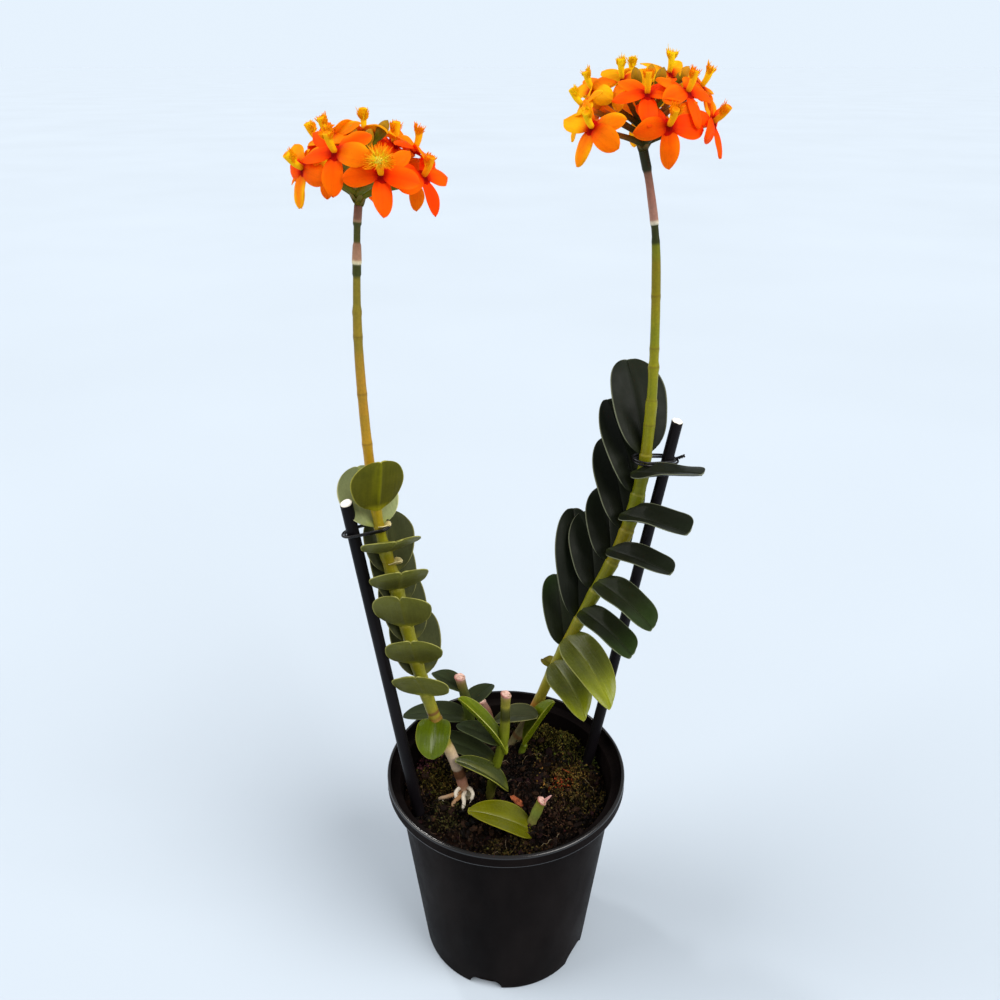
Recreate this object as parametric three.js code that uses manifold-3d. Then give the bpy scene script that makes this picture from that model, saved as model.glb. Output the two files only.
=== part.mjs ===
// Reed-stem epidendrum orchid tied to two stakes in a round nursery pot.
// Millimetres, +Z up, origin at the middle of the pot's underside, -Y is the front.
import * as THREE from 'three';
import { mergeVertices } from 'three/addons/utils/BufferGeometryUtils.js';
import Module from 'manifold-3d';

const wasm = await Module();
wasm.setup();

// ---------- driving dimensions ----------
const POT = { height: 112, rim: 60, collar: 6.5, wall: 1.5, foot: 43.5, top: 55, floor: 2.2, sides: 40 };
const NOTCH = { count: 5, first: -104, width: 17, height: 7.5, inner: 36.5, outer: 50 };
const SOIL = { level: 95.5, gap: 0.3, shoulder: 5, rings: 6, sides: 28 };
const STAKE = { radius: 2.5, sides: 12, buried: 18 };
const LEAF = {
  thick: 1.3,
  seat: 2.4, // how far out from the stem's axis an upright leaf starts
  stations: [0, 0.1, 0.34, 0.64, 0.86, 0.985],
  half: [0.22, 0.62, 0.95, 1, 0.82, 0.34],
  across: [-1, -0.52, 0, 0.52, 1],
  notch: 1.6,
};
const TEPAL = { thick: 1, rim: 0.3, stations: [0.42, 0.76], half: [0.86, 1] };
const BLOOM = { hub: 1.35, back: 0.8, column: 6.2, rise: 2.2, neck: 1.1 };
const WIRE = { radius: 0.5, spread: 0.65, steps: 24, sides: 5 };
const HOLE_CLEAR = 0.35;
const JOINT_GAP = 0.3;
const WELD = 1e-4; // points nearer than this are one point

// centre lines of the two flowering canes, from below the soil to the flower head
const CANE_LEFT = [
  [-17.6, -5, 84], [-20.5, -6, 97], [-24.3, -6, 115], [-34, -5, 144], [-42, -3, 174.5], [-50, -1, 215.7],
  [-56, 0, 246], [-59.3, 2, 284], [-60.5, 4, 332], [-58.5, 6, 371], [-57.2, 7, 384]];
const CANE_RIGHT = [
  [0, 35, 86], [5.5, 36, 97], [16, 37, 118], [28, 38, 150], [45, 40, 188], [58, 42, 218],
  [65.5, 45, 249], [68, 47.5, 280], [68, 50, 314], [66, 54, 358], [62, 56, 383], [58, 57, 399]];

// leaves: height of the base on the cane, turn (0 = +X, -90 = front), rise, length, width, droop, fold
const LEAVES_LEFT = [
  { z: 257, turn: -78, rise: 74, len: 27, wide: 23.5, droop: 2, fold: 8 },
  { z: 236, turn: -70, rise: 38, len: 33, wide: 29, droop: 10, fold: 13 },
  { z: 217, turn: -74, rise: 47, len: 33, wide: 27, droop: 12, fold: 15 },
  { z: 198, turn: -84, rise: 62, len: 33, wide: 27, droop: 13, fold: 17 },
  { z: 178, turn: -82, rise: 60, len: 34, wide: 27, droop: 15, fold: 15 },
  { z: 161, turn: -88, rise: 56, len: 34, wide: 26, droop: 16, fold: 15 },
  { z: 147, turn: -98, rise: 0, len: 24, wide: 17, droop: 58, fold: 12 },
  { z: 251, turn: 142, rise: 60, len: 29, wide: 24, droop: 8, fold: 16 },
  { z: 226, turn: 99, rise: 64, len: 34, wide: 26, droop: 14, fold: 16 },
  { z: 208, turn: 112, rise: 62, len: 35, wide: 26, droop: 14, fold: 16 },
  { z: 188, turn: 108, rise: 60, len: 36, wide: 27, droop: 16, fold: 16 },
  { z: 169, turn: 104, rise: 56, len: 36, wide: 28, droop: 18, fold: 16 },
];
const LEAVES_RIGHT = [
  { z: 263, turn: 106, rise: 66, len: 48, wide: 27, droop: 22, fold: 16 },
  { z: 243, turn: 119, rise: 66, len: 49, wide: 26, droop: 22, fold: 12 },
  { z: 224, turn: 107, rise: 64, len: 48, wide: 27, droop: 22, fold: 16 },
  { z: 206, turn: 94, rise: 60, len: 40, wide: 26, droop: 22, fold: 16 },
  { z: 190, turn: 96, rise: 60, len: 42, wide: 25, droop: 22, fold: 16 },
  { z: 173, turn: 96, rise: 72, len: 58, wide: 24, droop: 20, fold: 16 },
  { z: 157, turn: 98, rise: 58, len: 39, wide: 22, droop: 24, fold: 18 },
  { z: 252, turn: -54, rise: 27, len: 40, wide: 21, droop: 12, fold: 14 },
  { z: 231, turn: -55, rise: 20, len: 39, wide: 23, droop: 18, fold: 20 },
  { z: 213, turn: -56, rise: 21, len: 39, wide: 22, droop: 22, fold: 20 },
  { z: 191, turn: -56, rise: 20, len: 43, wide: 23, droop: 38, fold: 16 },
  { z: 174, turn: -57, rise: 18, len: 41, wide: 22, droop: 36, fold: 16 },
  { z: 158, turn: -62, rise: 8, len: 45, wide: 21, droop: 42, fold: 16 },
  { z: 143, turn: -64, rise: 8, len: 38, wide: 19, droop: 38, fold: 14 },
  { z: 146, turn: 140, rise: 14, len: 14, wide: 12, droop: 10, fold: 10 },
];

// flowers: throat from the head's branching point, turn and rise of the column, spin about it, size,
// lip from 1, spread and fringed, to narrow
const FLOWERS_LEFT = [
  { at: [-17, -10, 14], turn: -140, rise: 14, spin: 0, size: 0.95, lip: 0.45 },
  { at: [-4, -17, 20], turn: -112, rise: 30, spin: 0, size: 1, lip: 0.6 },
  { at: [12, -21, 13], turn: -88, rise: 26, spin: 0, size: 1, lip: 1 },
  { at: [25, -5, 10.5], turn: -38, rise: 32, spin: 6, size: 1, lip: 0.5 },
  { at: [21, 8, 18.5], turn: 15, rise: 48, spin: 0, size: 0.95, lip: 0.6 },
  { at: [11, 19, 21], turn: 72, rise: 42, spin: 0, size: 0.95, lip: 0.45 },
  { at: [2.5, 9, 25], turn: 88, rise: 60, spin: 0, size: 0.9, lip: 0.45 },
  { at: [-9, 4, 25], turn: 160, rise: 56, spin: 0, size: 0.95, lip: 0.5 },
  { at: [-13, 14, 22], turn: 142, rise: 40, spin: 0, size: 0.9, lip: 0.45 },
  { at: [-20, 6, 12], turn: 176, rise: 22, spin: 0, size: 0.95, lip: 0.45 },
  { at: [-13, 20, 13], turn: 134, rise: 15, spin: 0, size: 0.95, lip: 0.5 },
  { at: [1, 28, 12], turn: 95, rise: 18, spin: 0, size: 1, lip: 0.8 },
  { at: [19, 17, 9], turn: 36, rise: 15, spin: 0, size: 0.95, lip: 0.6 },
];
const FLOWERS_RIGHT = [
  { at: [6.5, -19, 11], turn: -80, rise: 20, spin: 0, size: 1.08, lip: 0.6 },
  { at: [-2, -14, 22], turn: -98, rise: 46, spin: 0, size: 1, lip: 0.55 },
  { at: [14, -11, 22.5], turn: -50, rise: 44, spin: 0, size: 1, lip: 0.55 },
  { at: [26, -7, 11.5], turn: -26, rise: 20, spin: 14, size: 1, lip: 0.45 },
  { at: [-23, -14, 10], turn: -128, rise: 18, spin: -16, size: 1.05, lip: 0.55 },
  { at: [-25, 2, 17], turn: 178, rise: 26, spin: 0, size: 1, lip: 0.5 },
  { at: [-21, 9, 24], turn: 165, rise: 46, spin: 0, size: 0.95, lip: 0.55 },
  { at: [-10, 6, 28], turn: 150, rise: 64, spin: 0, size: 0.95, lip: 0.55 },
  { at: [-4, 19, 27], turn: 108, rise: 60, spin: 0, size: 0.95, lip: 0.5 },
  { at: [9.5, 8, 31], turn: 40, rise: 72, spin: 0, size: 0.95, lip: 0.6 },
  { at: [23, 9, 25], turn: 10, rise: 46, spin: 0, size: 1, lip: 0.6 },
  { at: [16, 25, 22], turn: 62, rise: 40, spin: 0, size: 0.95, lip: 0.55 },
  { at: [-17, 21, 15], turn: 138, rise: 20, spin: 0, size: 1, lip: 0.6 },
  { at: [2, 32, 13], turn: 94, rise: 18, spin: 0, size: 1, lip: 0.8 },
];
// tepals: angle round the column, length, width, lift; lowest sepal, petals and upper sepals
const TEPALS = [
  { angle: -90, len: 15, wide: 8.2, lift: 0 },
  { angle: -10, len: 14, wide: 9.2, lift: 0.8 },
  { angle: 36, len: 14, wide: 7.4, lift: -0.2 },
  { angle: 144, len: 14, wide: 7.4, lift: -0.2 },
  { angle: 190, len: 14, wide: 9.2, lift: 0.8 },
];
// lobes of the lip: angle of the middle, half its spread, reach
const LOBES = [
  { mid: 4, spread: 34, reach: 5.8 },
  { mid: 90, spread: 34, reach: 6.6 },
  { mid: 176, spread: 34, reach: 5.8 },
];
// buds: place of each tip from the head's branching point
const BUDS_LEFT = [[-1.4, 1.5, 27], [3.4, -1, 26], [9.6, 4, 25.5], [1, 3.5, 30]];
const BUDS_RIGHT = [[-5, -2, 30], [4.5, -3, 31], [14.5, 3, 31.5], [1.5, 4, 33]];

// [height, radius] pairs below the lowest leaf's sheath and above the topmost one's
const SHEATH = { below: 2.2, above: 2.6, least: 1.5, rim: 3.75, neck: 3.2 };
const topOf = (points) => points[points.length - 1][2] - JOINT_GAP; // just short of the flower head
const FOOT_LEFT = [[85, 2.7], [100, 2.8], [114, 2.6], [116, 2.9], [127, 2.8], [129, 2.5], [141, 2.7]];
const STALK_LEFT = [
  [260.5, 2.9], [272, 2.3], [300, 2.1], [341, 1.8], [343, 2], [346, 1.6], [357, 1.5],
  [358, 1.8], [369, 1.6], [370, 1.35], [376, 1.35], [377, 1.7], [topOf(CANE_LEFT), 1.6]];
const FOOT_RIGHT = [[87, 2.8], [98, 2.9], [111, 2.7], [113, 3.1], [125, 3], [127, 2.7], [138, 2.9]];
const STALK_RIGHT = [
  [267, 3.1], [286, 2.5], [300, 2.3], [335, 2.1], [362, 1.9], [364, 1.6], [368, 1.6],
  [370, 1.9], [390, 1.7], [392, 2.1], [topOf(CANE_RIGHT), 2.1]];

// cut-back shoots and the young shoot; each leaf runs between two points
const SHOOT_NOTCH = 0.4;
const SHOOTS = [
  { name: 'cut_shoot_front',
    line: [[-9.6, -3.8, 84], [-7.8, -3, 97], [-5.5, -2, 110.6], [-1.2, -1, 130], [-0.1, 0, 155.8]],
    radius: 2.7,
    leaves: [
      { from: [-5.3, -2, 112], to: [-24, -13, 128.5], wide: 17, droop: 34, fold: 38 },
      { from: [-2.6, -1.4, 125], to: [-23, 7, 147], wide: 16, droop: 24, fold: 40 },
      { from: [-4.8, -1.8, 114], to: [-44, 13, 119], wide: 14, droop: 34, fold: 16 },
      { from: [-2.4, -1.2, 126], to: [-25, 9.5, 129], wide: 14, droop: 30, fold: 16 },
    ] },
  { name: 'cut_shoot_left',
    line: [[-14, 19, 86], [-15.6, 18.4, 97], [-18, 18, 121], [-19.8, 18, 135], [-23.3, 18, 152.5]],
    radius: 2.6,
    leaves: [
      { from: [-18.8, 18, 128], to: [-54, 22, 128], wide: 20, droop: 40, fold: 14 },
      { from: [-19.6, 18, 134], to: [-7, 34, 135.5], wide: 12, droop: 20, fold: 22 },
      { from: [-21.6, 18, 144], to: [-38, 26, 149], wide: 12, droop: 20, fold: 20 },
    ] },
  { name: 'cut_shoot_back',
    line: [[-4, 37, 88], [-5.6, 36.6, 97], [-9, 36, 114], [-12.8, 36, 123]],
    radius: 2.1,
    leaves: [{ from: [-7.6, 36, 108], to: [17, 24, 122], wide: 17, droop: 36, fold: 16 }] },
  { name: 'cut_shoot_right',
    line: [[9.6, -24.5, 85], [12, -24.2, 95], [14, -24, 101], [17.2, -23.6, 110]],
    radius: 2.4,
    leaves: [
      { from: [13.4, -24.1, 99.5], to: [-17.5, -31, 107], wide: 19, droop: 36, fold: 18 },
      { from: [15.6, -23.8, 105.5], to: [21.6, -23, 113], wide: 3.6, droop: 0, fold: 12 },
    ] },
  { name: 'young_shoot',
    line: [[7.4, 27.4, 88], [9.4, 28, 97], [11, 28.4, 102]],
    radius: 1.8,
    leaves: [{ from: [10.2, 28.2, 99.5], to: [25.5, 28, 129], wide: 13, droop: 8, fold: 52 }] },
];
const ROOTS = [
  [[-20, -6.5, 103], [-19.5, -12, 104], [-16, -14.4, 101.8]],
  [[-21, -6.5, 102], [-23, -11, 103], [-25.4, -14, 99.8]],
  [[-21, -7, 101], [-27, -12.5, 101], [-33, -15, 99.6]],
  [[-20.5, -7, 101], [-20.6, -14, 101.5], [-21, -19, 99.2]]];

// each stake: where it meets the soil, and its top; each tie: heights and reach on cane and stake
const STAKES = [
  { name: 'stake_left', foot: [-43, -18.4, 96], top: [-70.3, 0.8, 259.6] },
  { name: 'stake_right', foot: [43.5, 17.5, 97], top: [82.5, 54, 277.5] },
];
const TIES = [
  { name: 'tie_left', cane: CANE_LEFT, stake: STAKES[0],
    caneZ: 246.5, stakeZ: 243.5, caneReach: 5.2, stakeReach: 4.2 },
  { name: 'tie_right', cane: CANE_RIGHT, stake: STAKES[1],
    caneZ: 258, stakeZ: 260.5, caneReach: 5.2, stakeReach: 4.6 },
];

// ---------- small geometry helpers ----------
const UP = new THREE.Vector3(0, 0, 1);
const rad = (deg) => deg * Math.PI / 180;
const degrees = (angle) => angle * 180 / Math.PI;
const vec = (a) => new THREE.Vector3(a[0], a[1], a[2]);
const curveOf = (points) => new THREE.CatmullRomCurve3(points.map(vec), false, 'catmullrom', 0.5);

function heading(turn, rise) {
  const flat = Math.cos(rad(rise));
  return new THREE.Vector3(flat * Math.cos(rad(turn)), flat * Math.sin(rad(turn)), Math.sin(rad(rise)));
}

// point at distances along three axes from a place
function offset(place, ...steps) {
  const point = place.clone();
  steps.forEach(([axis, distance]) => point.addScaledVector(axis, distance));
  return point;
}

// closed geometry to solid: points are welded and triangles with no area dropped
function solidOf(geometry) {
  const bare = new THREE.BufferGeometry();
  bare.setAttribute('position', geometry.getAttribute('position'));
  bare.setIndex(geometry.getIndex());
  const welded = mergeVertices(bare, WELD);
  const corners = Array.from(welded.getIndex().array);
  const triangles = [];
  for (let i = 0; i < corners.length; i += 3) {
    const [a, b, c] = corners.slice(i, i + 3);
    if (a !== b && b !== c && c !== a) triangles.push(a, b, c);
  }
  return new wasm.Manifold(new wasm.Mesh({
    numProp: 3,
    vertProperties: Float32Array.from(welded.getAttribute('position').array),
    triVerts: Uint32Array.from(triangles),
  }));
}

function solidFrom(points, triangles) {
  const geometry = new THREE.BufferGeometry().setFromPoints(points);
  geometry.setIndex(triangles.flat());
  return solidOf(geometry);
}

const fuse = (list) => wasm.Manifold.union(list);

// closed tube along a list of points with a radius at each
function tube(line, radii, sides) {
  const points = [];
  const triangles = [];
  let across = new THREE.Vector3(0.31, -0.9, 0.2);
  line.forEach((centre, i) => {
    const next = line[Math.min(i + 1, line.length - 1)];
    const way = next.clone().sub(line[Math.max(i - 1, 0)]).normalize();
    across = offset(across, [way, -across.dot(way)]).normalize();
    const other = way.clone().cross(across);
    for (let k = 0; k < sides; k += 1) {
      const angle = 2 * Math.PI * k / sides;
      points.push(offset(centre, [across, radii[i] * Math.cos(angle)], [other, radii[i] * Math.sin(angle)]));
    }
  });
  for (let i = 0; i + 1 < line.length; i += 1) {
    for (let k = 0; k < sides; k += 1) {
      const a = i * sides + k;
      const b = i * sides + (k + 1) % sides;
      triangles.push([a, b, b + sides], [a, b + sides, a + sides]);
    }
  }
  const last = (line.length - 1) * sides;
  for (let k = 1; k + 1 < sides; k += 1) triangles.push([0, k + 1, k], [last, last + k, last + k + 1]);
  return solidFrom(points, triangles);
}

// straight round rod between two points
function rod(from, to, radius, sides) {
  const way = to.clone().sub(from);
  const geometry = new THREE.CylinderGeometry(radius, radius, way.length(), sides);
  geometry.applyQuaternion(new THREE.Quaternion().setFromUnitVectors(new THREE.Vector3(0, 1, 0),
    way.clone().normalize()));
  const middle = from.clone().lerp(to, 0.5);
  geometry.translate(middle.x, middle.y, middle.z);
  return solidOf(geometry);
}

// body turned round Z from an outline of [radius, height] that starts and ends on the axis
function turned(outline, sides) {
  const geometry = new THREE.LatheGeometry(outline.map(([r, z]) => new THREE.Vector2(r, z)), sides);
  return geometry.rotateX(Math.PI / 2);
}

// blade from rows of points: full thickness inside, sharp at its outline, split alike on both faces
function blade(rows, thick) {
  const lastRow = rows.length - 1;
  const lastColumn = rows[0].length - 1;
  const points = [];
  const put = (point) => points.push(point) - 1;
  const top = rows.map(() => []);
  const under = rows.map(() => []);
  rows.forEach((row, i) => row.forEach((point, j) => {
    if (i === 0 || j === 0 || i === lastRow || j === lastColumn) {
      top[i][j] = put(point);
      under[i][j] = top[i][j];
      return;
    }
    const along = rows[i + 1][j].clone().sub(rows[i - 1][j]);
    const side = row[j + 1].clone().sub(row[j - 1]);
    const face = side.cross(along).normalize();
    top[i][j] = put(offset(point, [face, thick / 2]));
    under[i][j] = put(offset(point, [face, -thick / 2]));
  }));
  const triangles = [];
  const cover = (grid, flip) => {
    for (let i = 0; i < lastRow; i += 1) {
      for (let j = 0; j < lastColumn; j += 1) {
        const [a, b, c, d] = [grid[i][j], grid[i + 1][j], grid[i + 1][j + 1], grid[i][j + 1]];
        const pair = j < lastColumn / 2 ? [[a, c, b], [a, d, c]] : [[a, d, b], [b, d, c]];
        triangles.push(...pair.map((t) => (flip ? t.reverse() : t)));
      }
    }
  };
  cover(top, false);
  cover(under, true);
  return solidFrom(points, triangles);
}

// ---------- leaves ----------
// blade that leaves the stem at base, droops along its length and folds up along its midrib
function leaf(base, { turn, rise, len, wide, droop, fold }, notch = LEAF.notch) {
  const steps = 40;
  const middle = [offset(base, [heading(turn, 0), LEAF.seat * Math.sin(rad(rise)) ** 4])];
  for (let k = 0; k < steps; k += 1) {
    middle.push(offset(middle[k], [heading(turn, rise - droop * (k + 0.5) / steps), len / steps]));
  }
  const side = new THREE.Vector3(Math.sin(rad(turn)), -Math.cos(rad(turn)), 0);
  const rows = LEAF.stations.map((u, i) => {
    const along = heading(turn, rise - droop * u);
    const face = side.clone().cross(along);
    const half = wide / 2 * LEAF.half[i];
    const last = i === LEAF.stations.length - 1;
    return LEAF.across.map((v) => offset(middle[Math.round(u * steps)],
      [side, half * v * Math.cos(rad(fold))],
      [face, half * Math.abs(v) ** 1.2 * Math.sin(rad(fold))],
      [along, last ? -notch * (1 - Math.abs(v)) : 0]));
  });
  return blade(rows, LEAF.thick);
}

// a leaf given by its two ends instead of by its angles
function leafBetween({ from, to, wide, droop, fold }) {
  const base = vec(from);
  const way = vec(to).sub(base);
  const len = way.length();
  const turn = degrees(Math.atan2(way.y, way.x));
  const rise = degrees(Math.asin(way.z / len)) + droop / 2;
  const start = offset(base, [heading(turn, 0), -LEAF.seat * Math.sin(rad(rise)) ** 4]);
  return leaf(start, { turn, rise, len: len * 1.01, wide, droop, fold }, SHOOT_NOTCH);
}

// ---------- canes ----------
function atHeight(curve, z) {
  let low = 0;
  let high = 1;
  for (let k = 0; k < 40; k += 1) {
    const middle = (low + high) / 2;
    if (curve.getPoint(middle).z < z) low = middle;
    else high = middle;
  }
  return curve.getPoint(low);
}

// [height, radius] pairs up the cane: each leaf's sheath swells to its rim below the leaf
function caneRings(leaves, foot, stalk) {
  const rings = [...foot];
  leaves.map((row) => row.z).sort((a, b) => a - b).forEach((z) => {
    const clear = z - SHEATH.below > rings[rings.length - 1][0] + SHEATH.least;
    if (clear) rings.push([z - SHEATH.below, SHEATH.rim], [z + SHEATH.above, SHEATH.neck]);
  });
  return [...rings, ...stalk];
}

function cane(points, leaves, foot, stalk) {
  const curve = curveOf(points);
  const rings = caneRings(leaves, foot, stalk);
  const stem = tube(rings.map(([z]) => atHeight(curve, z)), rings.map((ring) => ring[1]), 8);
  return fuse([stem, ...leaves.map((row) => leaf(atHeight(curve, row.z), row))]);
}

// ---------- flowers ----------
function bloomAxes({ turn, rise, spin }) {
  const ahead = heading(turn, rise);
  const level = offset(UP, [ahead, -ahead.z]).normalize();
  const beside = ahead.clone().cross(level);
  const up = offset(new THREE.Vector3(), [level, Math.cos(rad(spin))], [beside, Math.sin(rad(spin))]);
  return { ahead, up, right: ahead.clone().cross(up) };
}

// points and triangles of one flower, gathered as it grows outward
function sketch() {
  const points = [];
  const triangles = [];
  return { points, triangles, put: (point) => points.push(point) - 1 };
}

// angles halfway between neighbouring tepals, where the flower's five-sided rings have their corners
const CORNERS = TEPALS.map((row, i) => {
  const next = TEPALS[(i + 1) % TEPALS.length];
  const whole = i + 1 === TEPALS.length ? 360 : 0;
  return (row.angle + next.angle + whole) / 2;
});

function ringOf(draft, up, centre, radius, normal) {
  const top = offset(up, [normal, -up.dot(normal)]).normalize();
  const side = normal.clone().cross(top);
  return CORNERS.map((angle) => draft.put(offset(centre,
    [side, radius * Math.cos(rad(angle))], [top, radius * Math.sin(rad(angle))])));
}

function wall(draft, low, high) {
  low.forEach((_, i) => {
    const n = (i + 1) % low.length;
    draft.triangles.push([low[i], low[n], high[n]], [low[i], high[n], high[i]]);
  });
}

// one spread tepal between the corners of the hub's back and front rings
function tepal(draft, throat, { ahead, up, right }, size, i, back, front) {
  const { angle, len, wide, lift } = TEPALS[i];
  const before = (i + TEPALS.length - 1) % TEPALS.length;
  const [cos, sin] = [Math.cos(rad(angle)), Math.sin(rad(angle))];
  const at = (u, across, rise) => draft.put(offset(throat,
    [right, u * len * size * cos - across * sin],
    [up, u * len * size * sin + across * cos],
    [ahead, 1.2 * Math.sin(Math.PI * u) - 1.5 * u * u + lift + rise]));
  const [u1, u2] = TEPAL.stations;
  const [h1, h2] = TEPAL.half.map((share) => share * wide * size / 2);
  const rim = [at(u1, -h1, -TEPAL.rim), at(u2, -h2, -TEPAL.rim), at(1, 0, 0),
    at(u2, h2, -TEPAL.rim), at(u1, h1, -TEPAL.rim)];
  [[front, 1], [back, -1]].forEach(([root, facing]) => {
    const near = at(u1, 0, facing * TEPAL.thick / 2);
    const far = at(u2, 0, facing * TEPAL.thick / 2);
    const half = [[root[before], rim[0], near], [rim[0], rim[1], near], [rim[1], far, near],
      [rim[1], rim[2], far], [rim[2], rim[3], far], [rim[3], near, far], [rim[3], rim[4], near],
      [rim[4], root[i], near], [root[i], root[before], near]];
    draft.triangles.push(...half.map((t) => (facing > 0 ? t : t.reverse())));
  });
  draft.triangles.push([rim[0], front[before], back[before]], [rim[4], back[i], front[i]]);
}

// corner of the neck that lies nearest an angle round the column
function nearestCorner(angle) {
  const away = CORNERS.map((corner) => Math.abs(((corner - angle) % 360 + 540) % 360 - 180));
  return away.indexOf(Math.min(...away));
}

// the lip: three fringed lobes round the column's end, or a narrow toothed tube where lip is small
function lipOf(draft, end, face, { up, size, lip, neck }) {
  const top = offset(up, [face, -up.dot(face)]).normalize();
  const side = face.clone().cross(top);
  const fold = 2.4 * (1 - lip);
  const rim = (angle, reach, lift) => ({ angle, id: draft.put(offset(end,
    [side, reach * size * Math.cos(rad(angle))], [top, reach * size * Math.sin(rad(angle))],
    [face, lift])) });
  const fringe = LOBES.flatMap(({ mid, spread, reach }, k) => {
    const points = [-1, -0.5, 0, 0.5, 1].map((share, j) => rim(mid + spread * share,
      reach * lip * (j % 2 ? 0.72 : 1), (j % 2 ? 0.3 : 1) + fold));
    const last = k + 1 === LOBES.length;
    return [...points, last ? rim(270, 1.2 + 0.8 * lip, 0.1) : rim(mid + 43, 1.3 + 1.3 * lip, 0.1)];
  });
  const tip = draft.put(offset(end, [face, 1.3 + fold / 2]));
  fringe.forEach(({ angle, id }, k) => {
    const next = fringe[(k + 1) % fringe.length];
    let corner = nearestCorner(angle);
    const goal = nearestCorner(next.angle);
    draft.triangles.push([id, next.id, tip], [next.id, id, neck[corner]]);
    while (corner !== goal) {
      const following = (corner + 1) % neck.length;
      draft.triangles.push([next.id, neck[corner], neck[following]]);
      corner = following;
    }
  });
}

// one flower, from the head's axis outward: stalk, five spread tepals, column and lip
function flower(origin, { at, turn, rise, spin, size, lip }) {
  const axes = bloomAxes({ turn, rise, spin });
  const throat = origin.clone().add(vec(at));
  const along = (a, u) => offset(throat, [axes.ahead, a * size], [axes.up, u * size]);
  const foot = offset(origin, [UP, 3 + 9 * Math.min(1, at[2] / 30)]);
  const outward = new THREE.Vector3(at[0], at[1], 0).normalize();
  const stalk = new THREE.CubicBezierCurve3(foot, offset(foot, [outward, 5], [UP, 5]), along(-9, 0),
    along(-BLOOM.back, 0));
  const draft = sketch();
  const rings = [[0, 0.8], [0.35, 0.8], [0.7, 0.95]].map(([t, radius]) => ringOf(draft, axes.up,
    stalk.getPoint(t), radius, stalk.getTangent(t)));
  const back = ringOf(draft, axes.up, along(-BLOOM.back, 0), BLOOM.hub, axes.ahead);
  const front = ringOf(draft, axes.up, along(BLOOM.back, 0), BLOOM.hub, axes.ahead);
  const closed = 1 - lip;
  const end = along(BLOOM.column + 4 * closed, BLOOM.rise + closed);
  const face = offset(new THREE.Vector3(), [axes.ahead, 0.94], [axes.up, 0.1]).normalize();
  const neck = ringOf(draft, axes.up, offset(end, [face, -0.7]), BLOOM.neck, face);
  wall(draft, rings[0], rings[1]);
  wall(draft, rings[1], rings[2]);
  wall(draft, rings[2], back);
  wall(draft, front, neck);
  for (let k = 1; k + 1 < rings[0].length; k += 1) {
    draft.triangles.push([rings[0][0], rings[0][k + 1], rings[0][k]]);
  }
  TEPALS.forEach((_, i) => tepal(draft, throat, axes, size, i, back, front));
  lipOf(draft, end, face, { up: axes.up, size, lip, neck });
  // the rings run clockwise about the column, so each triangle is turned over to face out
  return solidFrom(draft.points, draft.triangles.map((corners) => corners.reverse()));
}

function bud(origin, at) {
  const tip = origin.clone().add(vec(at));
  const foot = offset(origin, [UP, 11]);
  const way = tip.clone().sub(foot).normalize();
  const line = [foot, foot.clone().lerp(tip, 0.45), offset(tip, [way, -4]), offset(tip, [way, -1]),
    offset(tip, [way, 2.2]), offset(tip, [way, 4.4])];
  return tube(line, [0.7, 0.7, 1, 2, 1.6, 0.4], 5);
}

// a head: short axis at the cane's end with its flowers and buds
function head(points, flowers, buds, radius) {
  const curve = curveOf(points);
  const end = curve.getPoint(1);
  const line = [end, offset(end, [curve.getTangent(1), 4]), offset(end, [UP, 9]), offset(end, [UP, 16])];
  const axis = tube(line, [radius, radius, 1.6, 1.1], 8);
  return fuse([axis, ...flowers.map((row) => flower(end, row)), ...buds.map((at) => bud(end, at))]);
}

// ---------- shoots, stakes and ties ----------
function shoot({ line, radius, leaves }) {
  const curve = curveOf(line);
  const rings = [1, 0.95, 1, 0.95, 1, 1.06];
  const centres = rings.map((_, i) => curve.getPoint(i / (rings.length - 1)));
  const stem = tube(centres, rings.map((share) => radius * share), 9);
  return fuse([stem, ...leaves.map(leafBetween)]);
}

// room in the soil round a stem that starts at the first two points of its line
function stemHole(line, radius) {
  const [low, high] = line.map(vec);
  const way = high.clone().sub(low).normalize();
  return rod(offset(low, [way, -JOINT_GAP]), offset(high, [way, 14]), radius + HOLE_CLEAR, 8);
}

function stake({ foot, top }) {
  const way = vec(top).sub(vec(foot)).normalize();
  const low = offset(vec(foot), [way, -STAKE.buried]);
  return rod(low, vec(top), STAKE.radius, STAKE.sides);
}

function stakeHole({ foot, top }) {
  const way = vec(top).sub(vec(foot)).normalize();
  const low = offset(vec(foot), [way, -STAKE.buried - JOINT_GAP]);
  return rod(low, offset(vec(foot), [way, 12]), STAKE.radius + HOLE_CLEAR, STAKE.sides);
}

// wire wound twice round a cane and its stake and closed on itself
function tie({ cane: points, stake: { foot, top }, caneZ, stakeZ, caneReach, stakeReach }) {
  const near = atHeight(curveOf(points), caneZ);
  const far = vec(foot).lerp(vec(top), (stakeZ - foot[2]) / (top[2] - foot[2]));
  const across = far.clone().sub(near).normalize();
  const other = UP.clone().cross(across).normalize();
  const line = Array.from({ length: WIRE.steps }, (_, k) => {
    const turn = 4 * Math.PI * (k + 0.5) / WIRE.steps;
    const [centre, reach] = Math.cos(turn) < 0 ? [near, caneReach] : [far, stakeReach];
    const radius = reach + WIRE.spread * Math.cos(turn / 2);
    return offset(centre, [across, radius * Math.cos(turn)], [other, radius * Math.sin(turn)],
      [UP, WIRE.spread * Math.sin(turn / 2)]);
  });
  const path = new THREE.CatmullRomCurve3(line, true);
  return solidOf(new THREE.TubeGeometry(path, WIRE.steps, WIRE.radius, WIRE.sides, true));
}

// ---------- pot and soil ----------
const wallAt = (z) => POT.foot + (POT.top - POT.foot) * z / (POT.height - POT.collar);
const insideAt = (z) => wallAt(z) - POT.wall;

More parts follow.
